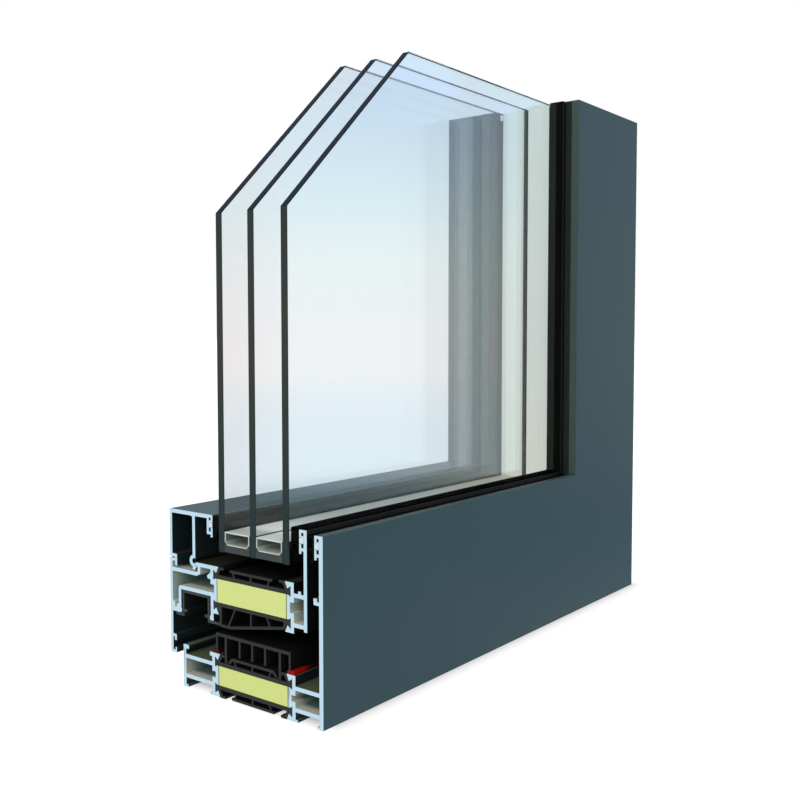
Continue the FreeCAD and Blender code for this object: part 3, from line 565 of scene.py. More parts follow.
@dataclass(frozen=True)
class Polyamide(Finish):
    """Dull black plastic with short glass fibres, drawn along its run, some of them pale specks."""

    name: str = "dark_polyamide"
    body: Colour = srgb(17, 18, 18)
    cut_colour: Colour = srgb(52, 54, 52)
    fibre: Range = (0.0016, 0.00012)
    fibre_tone: Range = (0.8, 1.2)
    speck: Range = (0.0004, 0.0003)
    speck_limits: Range = (0.62, 0.75)
    speck_colour: Colour = srgb(110, 106, 99)
    speck_share: float = 0.2
    rough: Range = (0.58, 0.78)
    shine: float = 0.12
    relief: Range = (0.00003, 0.5)

    def sockets(self, place: Section) -> dict[str, Any]:
        """Work out what the main shader is given.

        Args:
            place: Where the shaded point lies.

        Returns:
            Values or links by the names of the shader's sockets.
        """
        tree = place.tree
        fibres = tree.noise(place.streaks(*self.fibre))
        specks = tree.noise(place.streaks(*self.speck), detail=1.0).rise(*self.speck_limits)
        skin = tree.shade(self.body, fibres.span(self.fibre_tone))
        colour = tree.mix(place.cut(), skin, self.cut_colour)
        return {
            "Base Color": tree.mix(specks * self.speck_share, colour, self.speck_colour),
            "Roughness": fibres.span(self.rough),
            "Specular IOR Level": self.shine,
            "Normal": tree.bump(fibres, *self.relief),
        }


@dataclass(frozen=True)
class Foam(Finish):
    """Pale rigid foam with fine closed cells and a darker crust at its sides."""

    name: str = "pale_foam"
    body: Colour = srgb(226, 238, 150)
    cell: Colour = srgb(211, 224, 135)
    crust: Colour = srgb(112, 120, 62)
    crust_width: float = 0.00035
    sides: Range = (0.0, 97.0)
    cell_count: float = 2600.0
    cell_limits: Range = (0.3, 0.8)
    cell_share: float = 0.5
    patch_count: float = 160.0
    patch_share: float = 0.25
    rough: Range = (0.9, 0.8)
    shine: float = 0.2
    relief: Range = (0.00008, 0.6)

    def sockets(self, place: Section) -> dict[str, Any]:
        """Work out what the main shader is given.

        Args:
            place: Where the shaded point lies.

        Returns:
            Values or links by the names of the shader's sockets.
        """
        tree = place.tree
        near, far = (side / MM_PER_METRE for side in self.sides)
        outdoor = place.depth.below(near + self.crust_width)
        crust = outdoor.most(place.depth.above(far - self.crust_width))
        cells = tree.cells(tree.grains(self.cell_count))
        patches = tree.noise(tree.grains(self.patch_count), detail=3.0)
        share = cells.rise(*self.cell_limits) * self.cell_share + patches * self.patch_share
        return {
            "Base Color": tree.mix(crust, tree.mix(share, self.body, self.cell), self.crust),
            "Roughness": cells.span(self.rough),
            "Specular IOR Level": self.shine,
            "Normal": tree.bump(cells, *self.relief),
        }


@dataclass(frozen=True)
class Rubber(Finish):
    """Extruded rubber with a dull skin, a darker cap and, in its groove, a pale stiff root.

    Away from the cut end the skin darkens to painted shade by a share that grows with the distance,
    and on the rail it takes more painted shade; the cap takes the same dark tone.
    """

    body: Colour
    cut_colour: Colour
    # painted shade: the dark tone that the skin turns to away from the cut end; the cap takes it
    # too
    painted_shade: Colour
    rough: float = 0.55
    rough_drawn: float = 0.14
    rough_dust: float = 0.12
    shine: float = 0.12
    # the share of painted shade that the skin takes away from the cut end
    painted_shade_fade: float = 0.0
    painted_shade_reach: Range = (0.005, 0.011)
    # painted shade: darkens the skin on the rail
    rail_painted_shade: Colour = WHITE
    rail_shine: float = 0.12
    cap_boxes: tuple[Box, ...] = ()
    root_colour: Colour = srgb(220, 234, 242)
    root_boxes: tuple[Box, ...] = ()
    streak: Range = (0.03, 0.0004)
    tone: Range = (0.85, 1.15)
    dust: Range = (0.004, 0.002)
    dust_limits: Range = (0.55, 0.8)
    relief: Range = (0.00004, 0.5)

    def sockets(self, place: Section) -> dict[str, Any]:
        """Work out what the main shader is given.

        Args:
            place: Where the shaded point lies.

        Returns:
            Values or links by the names of the shader's sockets.
        """
        tree = place.tree
        rail = place.run is Run.RAIL
        drawn = tree.noise(place.streaks(*self.streak))
        dust = tree.noise(place.streaks(*self.dust), detail=4.0).rise(*self.dust_limits)
        ends = tree.mix(place.within(self.root_boxes), self.cut_colour, self.root_colour)
        # painted shade that grows away from the cut end
        dim = place.along.rise(*self.painted_shade_reach) * self.painted_shade_fade
        skin = tree.mix(dim.most(place.within(self.cap_boxes)), self.body, self.painted_shade)
        # painted shade on the rail
        if rail:
            skin = tree.tint(skin, self.rail_painted_shade)
        return {
            "Base Color": tree.mix(place.cut(), tree.shade(skin, drawn.span(self.tone)), ends),
            "Roughness": self.rough + drawn * self.rough_drawn + dust * self.rough_dust,
            "Specular IOR Level": self.rail_shine if rail else self.shine,
            "Normal": tree.bump(drawn, *self.relief),
        }


@dataclass(frozen=True)
class PaintedLightDrift:
    """Painted light and shade along one of the lengths, over a range of distances from its cut end.
    """

    run: Run
    reach: Range
    factor: Colour


@dataclass(frozen=True)
class Plastic(Finish):
    """Smooth drawn plastic or painted metal, with painted shade in its bore and a line of butyl on
    the jamb.

    The bore's floors take painted light. On the rail the skin takes painted shade near the cut end,
    and changes of tone along the run add painted light and shade.
    """

    body: Colour
    cut_colour: Colour
    rough: float = 0.42
    rough_drawn: float = 0.1
    shine: float = 0.4
    # painted shade on the walls of the bore, also on its box on the cut end
    bore_painted_shade: Colour = srgb(150, 163, 153)
    # painted light on the floors of the bore
    bore_painted_light_floor: Colour = srgb(205, 213, 205)
    bore_boxes: tuple[Box, ...] = ()
    floor_from: float = 0.3
    butyl: Colour = srgb(26, 34, 32)
    butyl_boxes: tuple[Box, ...] = ()
    # painted shade on the rail near the cut end: the share of the tone kept there
    cut_end_shade: float = 1.0
    cut_end_shade_reach: Range = (0.008, 0.018)
    painted_light_drifts: tuple[PaintedLightDrift, ...] = ()
    streak: Range = (0.06, 0.0005)
    tone: Range = (0.94, 1.06)
    relief: Range = (0.00003, 0.4)

    def sockets(self, place: Section) -> dict[str, Any]:
        """Work out what the main shader is given.

        Args:
            place: Where the shaded point lies.

        Returns:
            Values or links by the names of the shader's sockets.
        """
        tree = place.tree
        drawn = tree.noise(place.streaks(*self.streak), detail=3.0)
        tone = drawn.span(self.tone)
        # painted shade on the rail near the cut end
        if place.run is Run.RAIL and self.cut_end_shade < 1.0:
            tone = tone * place.along.rise(*self.cut_end_shade_reach).span((self.cut_end_shade, 1.0))
        body = self.body
        # painted light and shade along the run
        for painted_light_drift in self.painted_light_drifts:
            if painted_light_drift.run is place.run:
                change = tree.mix(place.along.rise(*painted_light_drift.reach), WHITE, painted_light_drift.factor)
                body = tree.tint(body, change)
        if place.run is Run.JAMB:
            body = tree.mix(place.within(self.butyl_boxes), body, self.butyl)
        # painted shade in the bore and on its box on the cut end, with painted light on the bore's
        # floors
        bore_painted_shade = place.within(self.bore_boxes)
        inside = tree.mix(place.rising.above(self.floor_from), self.bore_painted_shade, self.bore_painted_light_floor)
        skin = tree.shade(tree.mix(bore_painted_shade, body, inside), tone)
        return {
            "Base Color": tree.mix(place.cut(), skin, tree.mix(bore_painted_shade, self.cut_colour, self.bore_painted_shade)),
            "Roughness": self.rough + drawn * self.rough_drawn,
            "Specular IOR Level": self.shine,
            "Normal": tree.bump(drawn, *self.relief),
        }


@dataclass(frozen=True)
class Glass:
    """Clear float glass, which lets the lamps' light through.

    Its colour is graded with height, from low over middle to top, and at the free side by edge:
    this is painted reflection and painted shade, which the clear glass itself does not have.
    """

    place: str
    top: Colour
    middle: Colour
    low: Colour
    edge: Colour = WHITE
    edge_reach: float = 0.055
    low_height: float = 0.07
    rise: float = 0.235
    middle_band: Range = (0.40, 0.55)
    index: float = 1.52

    def make(self) -> bpy.types.Material:
        """Build the material of the polished faces.

        Returns:
            The material.
        """
        tree, made = Tree.material(f"glass_{self.place}")
        x, _, z = tree.point()
        start, end = self.middle_band
        stops = ((0.0, self.low), (start, self.middle), (end, self.middle), (1.0, self.top))
        share = (z - self.low_height) * (1 / self.rise)
        # painted reflection and painted shade: the colour graded with height, and at the free side
        # by edge
        ramp = tree.add("ShaderNodeValToRGB", {"stops": stops}, {0: share})
        inward = (x + SAMPLE.half_length).rise(0.0, self.edge_reach)
        glass = tree.add("ShaderNodeBsdfPrincipled", None, {
            "Base Color": tree.tint(ramp.outputs[0], tree.mix(inward, self.edge, WHITE)),
            "Roughness": 0.0,
            "IOR": self.index,
            "Transmission Weight": 1.0,
        })
        clear = tree.add("ShaderNodeBsdfTransparent")
        passing = tree.ray("Is Shadow Ray", "Is Diffuse Ray")
        shown = tree.add(
            "ShaderNodeMixShader", None, {0: passing, 1: glass.outputs[0], 2: clear.outputs[0]})
        tree.show(shown.outputs[0])
        return made


@dataclass(frozen=True)
class GroundEdge:
    """The ground edges of a pane, dark by their depth of glass, with a band of painted light half
    way up and painted shade on the faces that look up.
    """

    name: str = "ground_glass_edge"
    body: Colour = srgb(37, 50, 51)
    # painted light: a lighter band half way up the edges
    painted_light_band: Colour = srgb(54, 57, 51)
    painted_light_band_height: float = 0.163
    painted_light_band_reach: float = 0.08
    # painted shade on the faces that look up
    painted_shade_slant: Colour = srgb(2, 16, 30)
    slant_from: float = 0.3
    lines: Range = (60.0, 9000.0)
    clouds: float = 120.0
    tone: Range = (0.85, 1.15)
    rough: Range = (0.42, 0.62)
    shine: float = 0.14
    relief: Range = (0.00001, 0.4)

    def make(self) -> bpy.types.Material:
        """Build the material.

        Returns:
            The material.
        """
        tree, made = Tree.material(self.name)
        _, _, z = tree.point()
        _, _, rising = tree.normal()
        lines = tree.noise(tree.grains(*self.lines))
        cloud = tree.noise(tree.grains(self.clouds), detail=3.0)
        # painted light in a band half way up
        painted_light_band = (1 - abs(z - self.painted_light_band_height) * (1 / self.painted_light_band_reach)).most(0.0)
        side = tree.mix(painted_light_band, self.body, self.painted_light_band)
        # painted shade on the faces that look up
        body = tree.mix(rising.above(self.slant_from), side, self.painted_shade_slant)
        tree.surface({
            "Base Color": tree.shade(body, cloud.span(self.tone)),
            "Roughness": lines.span(self.rough),
            "Specular IOR Level": self.shine,
            "Normal": tree.bump(lines, *self.relief),
        })
        return made


def box_mesh(low: Vector, high: Vector) -> bmesh.types.BMesh:
    """Start a mesh as a box.

    Args:
        low: Its lowest corner.
        high: Its highest corner.

    Returns:
        The mesh.
    """
    bm = bmesh.new()
    bmesh.ops.create_cube(bm, size=1.0)
    place = Matrix.Translation((low + high) / 2) @ Matrix.Diagonal((*(high - low), 1.0))
    bmesh.ops.transform(bm, matrix=place, verts=bm.verts)
    return bm


def saw_off(bm: bmesh.types.BMesh, point: Vector, outward: Vector) -> None:
    """Cut off what lies beyond a plane and close the cut.

    Args:
        bm: The mesh.
        point: A point on the plane.
        outward: The plane's normal, towards what goes.
    """
    made = bmesh.ops.bisect_plane(
        bm, geom=bm.verts[:] + bm.edges[:] + bm.faces[:], plane_co=point, plane_no=outward,
        clear_outer=True)
    rim = [item for item in made["geom_cut"] if isinstance(item, bmesh.types.BMEdge)]
    bmesh.ops.edgeloop_fill(bm, edges=rim)


def bevel(
    bm: bmesh.types.BMesh,
    edges: Sequence[bmesh.types.BMEdge],
    offset: float,
    steps: int,
) -> None:
    """Bevel or round edges.

    Args:
        bm: The mesh.
        edges: The edges.
        offset: Width of the bevel on each side.
        steps: Its segments: 1 for a flat arris, more for a round.
    """
    bmesh.ops.bevel(
        bm, geom=edges, offset=offset, affect="EDGES", segments=steps, profile=0.5, material=-1,
        clamp_overlap=False)


def finish_piece(
    bm: bmesh.types.BMesh,
    node: str,
    ending: str,
    *materials: bpy.types.Material,
) -> bpy.types.Object:
    """Turn a bmesh into a piece that rides on the sample and stands for a solid.

    Args:
        bm: The modelled mesh, freed here.
        node: Name of the solid.
        ending: What the piece's name has after the solid's.
        materials: Its materials, in the order of the faces' indices.

    Returns:
        The piece.
    """
    name = f"{node}_{ending}"
    mesh = bpy.data.meshes.new(name)
    bm.to_mesh(mesh)
    bm.free()
    for material in materials:
        mesh.materials.append(material)
    piece = bpy.data.objects.new(name, mesh)
    bpy.context.scene.collection.objects.link(piece)
    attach(piece, "root")
    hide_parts(node)
    log.info("%s: %d faces", name, len(mesh.polygons))
    return piece


def dress(node: str, material: bpy.types.Material) -> None:
    """Give a carried-over solid one material.

    Args:
        node: Name of the solid.
        material: Its material.
    """
    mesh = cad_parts[node].data
    mesh.materials.clear()
    mesh.materials.append(material)
    log.info("%s: %s", node, material.name)


@dataclass(frozen=True)
class RoundedLength:
    """A length of profile whose long edges are slightly rounded, as drawn and coated ones are.

    An edge is rounded where its faces turn by more than fold, where it keeps to the run's direction
    by more than straight, and where the edges beside it are longer than room times the radius.
    Faces that turn by less than flat become one, and a turn of more than crease stays sharp.
    """

    radius: float
    steps: int = 2
    fold: float = math.radians(30)
    crease: float = math.radians(50)
    flat: float = math.radians(0.3)
    straight: float = 0.999
    room: float = 2.1
    weld: float = 0.000001

    def build(self, node: str, run: Run, material: bpy.types.Material) -> None:
        """Copy a solid, round its long edges and let the copy stand for it.

        Args:
            node: Name of the solid.
            run: Rail or jamb.
            material: Its material.
        """
        bm = bmesh.new()
        bm.from_mesh(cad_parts[node].data)
        bmesh.ops.remove_doubles(bm, verts=bm.verts, dist=self.weld)
        bmesh.ops.dissolve_limit(bm, angle_limit=self.flat, verts=bm.verts, edges=bm.edges)
        bevel(bm, [edge for edge in bm.edges if self._long(edge, run)], self.radius, self.steps)
        piece = finish_piece(bm, node, "rounded", material)
        piece.data.shade_smooth()
        piece.data.set_sharp_from_angle(angle=self.crease)
        weighted = piece.modifiers.new("weighted", "WEIGHTED_NORMAL")
        weighted.keep_sharp = True

    def _long(self, edge: bmesh.types.BMEdge, run: Run) -> bool:
        """Tell whether an edge runs along the profile, is sharp, and has room for the radius.

        Args:
            edge: The edge.
            run: Rail or jamb.

        Returns:
            True for an edge to round.
        """
        if len(edge.link_faces) != 2 or edge.calc_face_angle() < self.fold:
            return False
        way = (edge.verts[1].co - edge.verts[0].co).normalized()
        if abs(way[run.axis]) < self.straight:
            return False
        beside = [
            other.calc_length()
            for vert in edge.verts for other in vert.link_edges if other is not edge]
        return min(beside) > self.radius * self.room


def dress_lengths(finish: Finish, *pieces: str, radius: float = 0.0) -> None:
    """Dress the rail and the jamb of each kind of piece in one finish.

    Args:
        finish: The finish.
        pieces: Kinds of piece, without the rail or jamb ending.
        radius: Rounding of the long edges, or 0 to keep the solids as they are.
    """
    for run in Run:
        material = finish.make(run)
        for piece in pieces:
            node = f"{piece}_{run.value}"
            if radius:
                RoundedLength(radius).build(node, run, material)
            else:
                dress(node, material)


@dataclass(frozen=True)
class GasketBody:
    """The full body of a gasket between its groove and the glass, as a pressed gasket fills it."""

    piece: str
    depth: Range
    height: Range
    soft: float = 0.00035
    steps: int = 3
    long_from: float = 0.007

    def build(self, run: Run, material: bpy.types.Material) -> None:
        """Model the body as a mitred bar.

        Args:
            run: Rail or jamb.
            material: Its rubber.
        """
        near, far = (value - SAMPLE.half_depth for value in self.depth)
        corner, side = SAMPLE.half_length, 1.0
        low = Vector((-corner, near, self.height[0]))
        high = Vector((corner, far, self.height[1]))
        if run is Run.JAMB:
            side = -1.0
            low = Vector((corner - self.height[1], near, 0.0))
            high = Vector((corner - self.height[0], far, SAMPLE.height))
        bm = box_mesh(low, high)
        edges = [
            edge for edge in bm.edges
            if abs((edge.verts[1].co - edge.verts[0].co)[run.axis]) > self.long_from]
        bevel(bm, edges, self.soft, self.steps)
        saw_off(bm, Vector((corner, 0.0, 0.0)), Vector((side, 0.0, side)))
        bmesh.ops.recalc_face_normals(bm, faces=bm.faces)
        finish_piece(bm, f"{self.piece}_{run.value}", "body", material)


@dataclass(frozen=True)
class GlassUnit:
    """The three panes, with arrised edges and the cut across the upper outer corner."""

    arris: float = 0.0003
    film: float = 0.00003
    cut_rise: float = 0.2203
    cut_run: float = 0.0863
    polished_from: float = 0.9
    weld: float = 0.0000001
    edge: GroundEdge = GroundEdge()
    # the panes' graded colours are painted reflection and painted shade
    panes: tuple[Glass, ...] = (
        Glass("outer", (0.90, 0.98, 1.0), WHITE, (0.97, 0.99, 1.0)),
        Glass("middle", (0.92, 0.955, 1.0), WHITE, (0.98, 0.99, 1.0)),
        Glass(
            "inner", (0.94, 0.915, 0.865), (0.83, 0.87, 0.89), (0.885, 0.91, 0.905),
            edge=(0.995, 0.918, 0.908)),
    )

    def build(self) -> None:
        """Model and dress every pane."""
        edge = self.edge.make()
        for glass in self.panes:
            self._pane(f"pane_{glass.place}", glass.make(), edge)

    def _pane(self, node: str, glass: bpy.types.Material, edge: bpy.types.Material) -> None:
        """Model one pane in place of its solid, thinner by a film on each side.

        Args:
            node: Name of the solid.
            glass: Material of the polished faces and of the top.
            edge: Material of the ground edges.
        """
        low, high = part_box(node)
        film = Vector((0.0, self.film, 0.0))
        bm = box_mesh(low + film, high - film)
        across = Vector((self.cut_run, 0.0, SAMPLE.height - self.cut_rise))
        saw_off(
            bm, Vector((-SAMPLE.half_length, 0.0, self.cut_rise)),
            Vector((-across.z, 0.0, across.x)))
        bmesh.ops.remove_doubles(bm, verts=bm.verts, dist=self.weld)
        bevel(bm, bm.edges[:], self.arris, 1)
        bmesh.ops.recalc_face_normals(bm, faces=bm.faces)
        for face in bm.faces:
            polished = max(abs(face.normal.y), face.normal.z) > self.polished_from
            face.material_index = 0 if polished else 1
        finish_piece(bm, node, "glass", glass, edge)


@dataclass(frozen=True)
class OuterFrame:
    """The fixed frame: profiles, bars, foam, comb, seals and the rebate gasket."""

    # The frame's profiles take brighter painted light on their inside floors and full painted shade
    # deep in their hollows.
    outer: CoatedAluminium = CoatedAluminium(
        "frame_outer_aluminium", painted_light_ledge=srgb(92, 98, 74), painted_shade_share=1.0,
        tip_boxes=((0.0, 82.0, 6.0, 83.0),),
        inside_boxes=((2.0, 6.0, 20.0, 72.0), (2.0, 0.0, 30.0, 6.2)),
        hollow_boxes=((2.0, 6.1, 18.4, 14.1),))
    inner: CoatedAluminium = CoatedAluminium(
        "frame_inner_aluminium", painted_light_ledge=srgb(92, 98, 74), painted_shade_share=1.0,
        inside_boxes=((60.0, 6.0, 86.4, 30.0), (60.0, 0.0, 86.4, 6.2)),
        hollow_boxes=((65.5, 6.1, 86.4, 14.1),))
    bars: Polyamide = Polyamide()
    foam: Foam = Foam(sides=(20.15, 63.85))
    red: Rubber = Rubber(
        "red_rubber", srgb(178, 16, 26), srgb(150, 18, 26), srgb(24, 9, 11), painted_shade_fade=0.95)
    # painted shade: the inner seal is the same red rubber, darkened because it lies in shade
    painted_shade_red: Rubber = Rubber(
        "painted_shade_red_rubber", srgb(44, 14, 18), srgb(84, 18, 22), srgb(24, 12, 14), painted_shade_fade=0.85)
    black: Rubber = Rubber(
        "black_rubber", srgb(36, 42, 38), srgb(15, 16, 16), srgb(10, 12, 10),
        rough=0.6, shine=0.05, rail_painted_shade=(0.17, 0.13, 0.09), rail_shine=0.01,
        root_boxes=((2.1, 76.5, 4.6, 79.8),))
    profile_round: float = 0.0002
    bar_round: float = 0.00015
    seal_round: float = 0.0004
    gasket_round: float = 0.00028

    def build(self) -> None:
        """Model and dress the frame's pieces."""
        dress_lengths(self.outer, "frame_outer", radius=self.profile_round)
        dress_lengths(self.inner, "frame_inner", radius=self.profile_round)
        dress_lengths(
            self.bars, "frame_break_upper", "frame_break_lower", "frame_comb",
            radius=self.bar_round)
        dress_lengths(self.foam, "frame_foam")
        dress_lengths(self.red, "frame_seal_outer", radius=self.seal_round)
        dress_lengths(self.painted_shade_red, "frame_seal_inner", radius=self.seal_round)
        dress_lengths(self.black, "rebate_gasket", radius=self.gasket_round)


@dataclass(frozen=True)
class Sash:
    """The opening sash: profiles, bars, foam, liner, bead and glazing gaskets."""

    # The sash's outer profile takes darker painted shade inside its rebate.
    outer: CoatedAluminium = CoatedAluminium(
        "sash_outer_aluminium", inside=srgb(15, 18, 16),
        hollow=srgb(199, 209, 198), painted_light_hollow_floor=srgb(214, 214, 198), painted_shade_share=0.7,
        inside_boxes=((8.0, 30.0, 30.0, 74.0), (6.0, 30.0, 9.6, 85.0)),
        hollow_boxes=((10.6, 43.0, 18.9, 54.4),))
    inner: CoatedAluminium = CoatedAluminium(
        "sash_inner_aluminium",
        hollow=srgb(194, 206, 194), painted_light_hollow_floor=srgb(214, 214, 198), painted_shade_share=0.8,
        inside_boxes=((50.0, 10.0, 95.3, 80.0),),
        hollow_boxes=((66.0, 46.1, 95.3, 59.0), (91.0, 36.0, 95.3, 59.0)))
    bead: CoatedAluminium = CoatedAluminium(
        "bead_aluminium", inside_boxes=((68.7, 55.0, 95.3, 82.3),))
    bars: Polyamide = Polyamide("sash_polyamide")
    foam: Foam = Foam("sash_foam", sides=(20.75, 64.45))
    liner: Plastic = Plastic("dark_liner", srgb(24, 27, 28), srgb(46, 50, 50), rough=0.5)
    black: Rubber = Rubber(
        "glazing_rubber", srgb(36, 42, 38), srgb(15, 16, 16), srgb(9, 11, 9),
        rough=0.6, shine=0.05, rail_painted_shade=(0.17, 0.13, 0.09), rail_shine=0.01,
        cap_boxes=((8.0, 82.5, 13.6, 86.0),),
        root_boxes=((10.7, 78.0, 13.2, 81.3), (67.1, 78.0, 69.6, 81.3)))
    pressed: GasketBody = GasketBody("glazing_gasket_outer", (0.0141, 0.0179), (0.0779, 0.0843))
    profile_round: float = 0.0002
    bar_round: float = 0.00015
    gasket_round: float = 0.00022

    def build(self) -> None:
        """Model and dress the sash's pieces."""
        dress_lengths(self.outer, "sash_outer", radius=self.profile_round)
        dress_lengths(self.inner, "sash_inner", radius=self.profile_round)
        dress_lengths(self.bead, "bead", radius=self.profile_round)
        dress_lengths(self.bars, "sash_break_upper", "sash_break_lower", radius=self.bar_round)
        dress_lengths(self.foam, "sash_foam")
        dress_lengths(self.liner, "sash_liner", radius=self.profile_round)
        dress_lengths(
            self.black, "glazing_gasket_outer", "glazing_gasket_inner", radius=self.gasket_round)
        for run in Run:
            self.pressed.build(run, self.black.make(run))


# painted light and shade along the spacers: darker past the cut end on the rail, then lighter and
# warmer further on, and lighter far up the jamb
SPACER_PAINTED_LIGHT = (
    PaintedLightDrift(Run.RAIL, (0.005, 0.07), (0.66, 0.66, 0.66)),
    PaintedLightDrift(Run.RAIL, (0.12, 0.3), (1.7, 1.42, 1.02)),
    PaintedLightDrift(Run.JAMB, (0.12, 0.2), (1.11, 1.05, 1.02)),
)


@dataclass(frozen=True)
class UnitEdge:
    """The edge of the glass unit: spacers and sealant."""

    # painted light: the outer spacer is the same plastic as the inner one, given a lighter body and
    # less painted shade at the cut end to make up for the shade of the sash flange and gaskets
    spacer_outer: Plastic = Plastic(
        "outer_spacer", (0.86, 0.95, 0.91), srgb(212, 218, 210), rough=0.45,
        bore_boxes=((23.6, 71.5, 38.5, 76.8),), butyl_boxes=((23.0, 77.0, 24.6, 78.0),),
        cut_end_shade=0.68, painted_light_drifts=SPACER_PAINTED_LIGHT)
    spacer_inner: Plastic = Plastic(
        "inner_spacer", (0.76, 0.86, 0.82), srgb(212, 218, 210), rough=0.45,
        bore_boxes=((43.6, 71.5, 58.5, 76.8),), butyl_boxes=((43.0, 77.0, 44.1, 78.0),),
        cut_end_shade=0.58, painted_light_drifts=SPACER_PAINTED_LIGHT)
    sealant: Plastic = Plastic("dark_sealant", srgb(30, 38, 37), srgb(54, 62, 63), rough=0.6)
    spacer_round: float = 0.00015

    def build(self) -> None:
        """Model and dress the spacers and the sealant."""
        dress_lengths(self.spacer_outer, "spacer_outer", radius=self.spacer_round)
        dress_lengths(self.spacer_inner, "spacer_inner", radius=self.spacer_round)
        dress_lengths(self.sealant, "sealant_outer", "sealant_inner")


@dataclass(frozen=True)
class JambImage:
    """What the glass mirrors on the outdoor side, past the jamb: a little less red."""

    bearing: float = 1.48
    tone: Colour = (0.92, 1.0, 1.0)

    def tint(self, colour: Any, right: Number, ahead: Number, blur: float) -> bpy.types.NodeSocket:
        """Tint a mirrored colour there.

        Args:
            colour: The colour without it.
            right: X of the place or direction that is mirrored.
            ahead: Y of the place or direction that is mirrored.
            blur: How far the tint takes to come in.

        Returns:
            The colour with it.
        """
        tree = right.tree
        there = (right + ahead * self.bearing).rise(0.0, blur) * (-ahead).above(0.0)
        return tree.tint(colour, tree.mix(there, WHITE, self.tone))


@dataclass(frozen=True)
class Floor:
    """A wide pale floor that keeps the shadow, adds a painted shadow at the sample's foot, looks
    white, and that glass and metal mirror.
    """

    half: float = 30.0
    tone: Colour = (0.46, 0.452, 0.44)
    seen_glow: float = 0.84
    # painted shadow: the glow right at the foot, and how fast it comes back
    painted_shadow_glow: float = 0.39
    painted_shadow_fade: float = 0.006
    foot_half: Range = (0.1505, 0.0434)
    foot_middle: Range = (0.004, -0.0052)
    near_tone: Colour = (0.84, 0.95, 1.0)
    near_reach: Range = (0.3, 4.0)
    front_tone: Colour = (0.55, 0.85, 0.98)
    # painted shade in the floor that glass and metal mirror, in front of the jamb
    front_painted_shade: float = 0.5
    front_away: Range = (0.45, 0.68)
    front_ahead: Range = (0.02, 0.2)
    front_right: Range = (0.0, 0.2)
    jamb: JambImage = JambImage()
    jamb_blur: float = 0.1

    def build(self) -> None:
        """Make the floor's plane."""
        bm = bmesh.new()
        bmesh.ops.create_grid(bm, x_segments=1, y_segments=1, size=self.half)
        mesh = bpy.data.meshes.new("floor")
        bm.to_mesh(mesh)
        bm.free()
        mesh.materials.append(self._material())
        floor = bpy.data.objects.new("floor", mesh)
        bpy.context.scene.collection.objects.link(floor)

    def _material(self) -> bpy.types.Material:
        """Build the floor's material.

        Returns:
            The material.
        """
        tree, made = Tree.material("floor")
        seen = tree.ray("Is Camera Ray")
        mirrored = tree.ray("Is Glossy Ray", "Is Transmission Ray") * (1 - seen)
        diffuse = tree.add("ShaderNodeBsdfDiffuse", None, {"Color": self.tone})
        glow = tree.add("ShaderNodeEmission", None, {"Color": tree.grey(seen * self._glow(tree))})
        direct = tree.add("ShaderNodeAddShader", None, {0: diffuse.outputs[0], 1: glow.outputs[0]})
        image = tree.add("ShaderNodeEmission", None, {"Color": self._image(tree)})
        shown = tree.add(
            "ShaderNodeMixShader", None, {0: mirrored, 1: direct.outputs[0], 2: image.outputs[0]})
        tree.show(shown.outputs[0])
        return made

    def _glow(self, tree: Tree) -> Number:
        """Work out how the floor glows for the camera, less close to the sample's foot: a painted
        shadow.

        Args:
            tree: The floor's material.

        Returns:
            The glow.
        """
        x, y, _ = tree.point()
        past_x = (abs(x - self.foot_middle[0]) - self.foot_half[0]).most(0.0)
        past_y = (abs(y - self.foot_middle[1]) - self.foot_half[1]).most(0.0)
        gap = tree.maths("SQRT", past_x * past_x + past_y * past_y)
        # painted shadow close to the foot
        near = tree.maths("EXPONENT", gap * (-1 / self.painted_shadow_fade))
        return self.seen_glow - near * (self.seen_glow - self.painted_shadow_glow)

    def _image(self, tree: Tree) -> bpy.types.NodeSocket:
        """Work out what glass and metal mirror of the floor: bluer near, with painted shade in
        front of the jamb.

        Args:
            tree: The floor's material.

        Returns:
            The colour.
        """
        x, y, _ = tree.point()
        away = tree.maths("SQRT", x * x + y * y)
        front = (1 - away.rise(*self.front_away)) * (-y).rise(*self.front_ahead)
        front = front * x.rise(*self.front_right)
        pale = tree.mix(away.rise(*self.near_reach), self.near_tone, WHITE)
        pale = self.jamb.tint(tree.mix(front, pale, self.front_tone), x, y, self.jamb_blur)
        # painted shade in front of the jamb
        return tree.shade(pale, 1 - front * self.front_painted_shade)


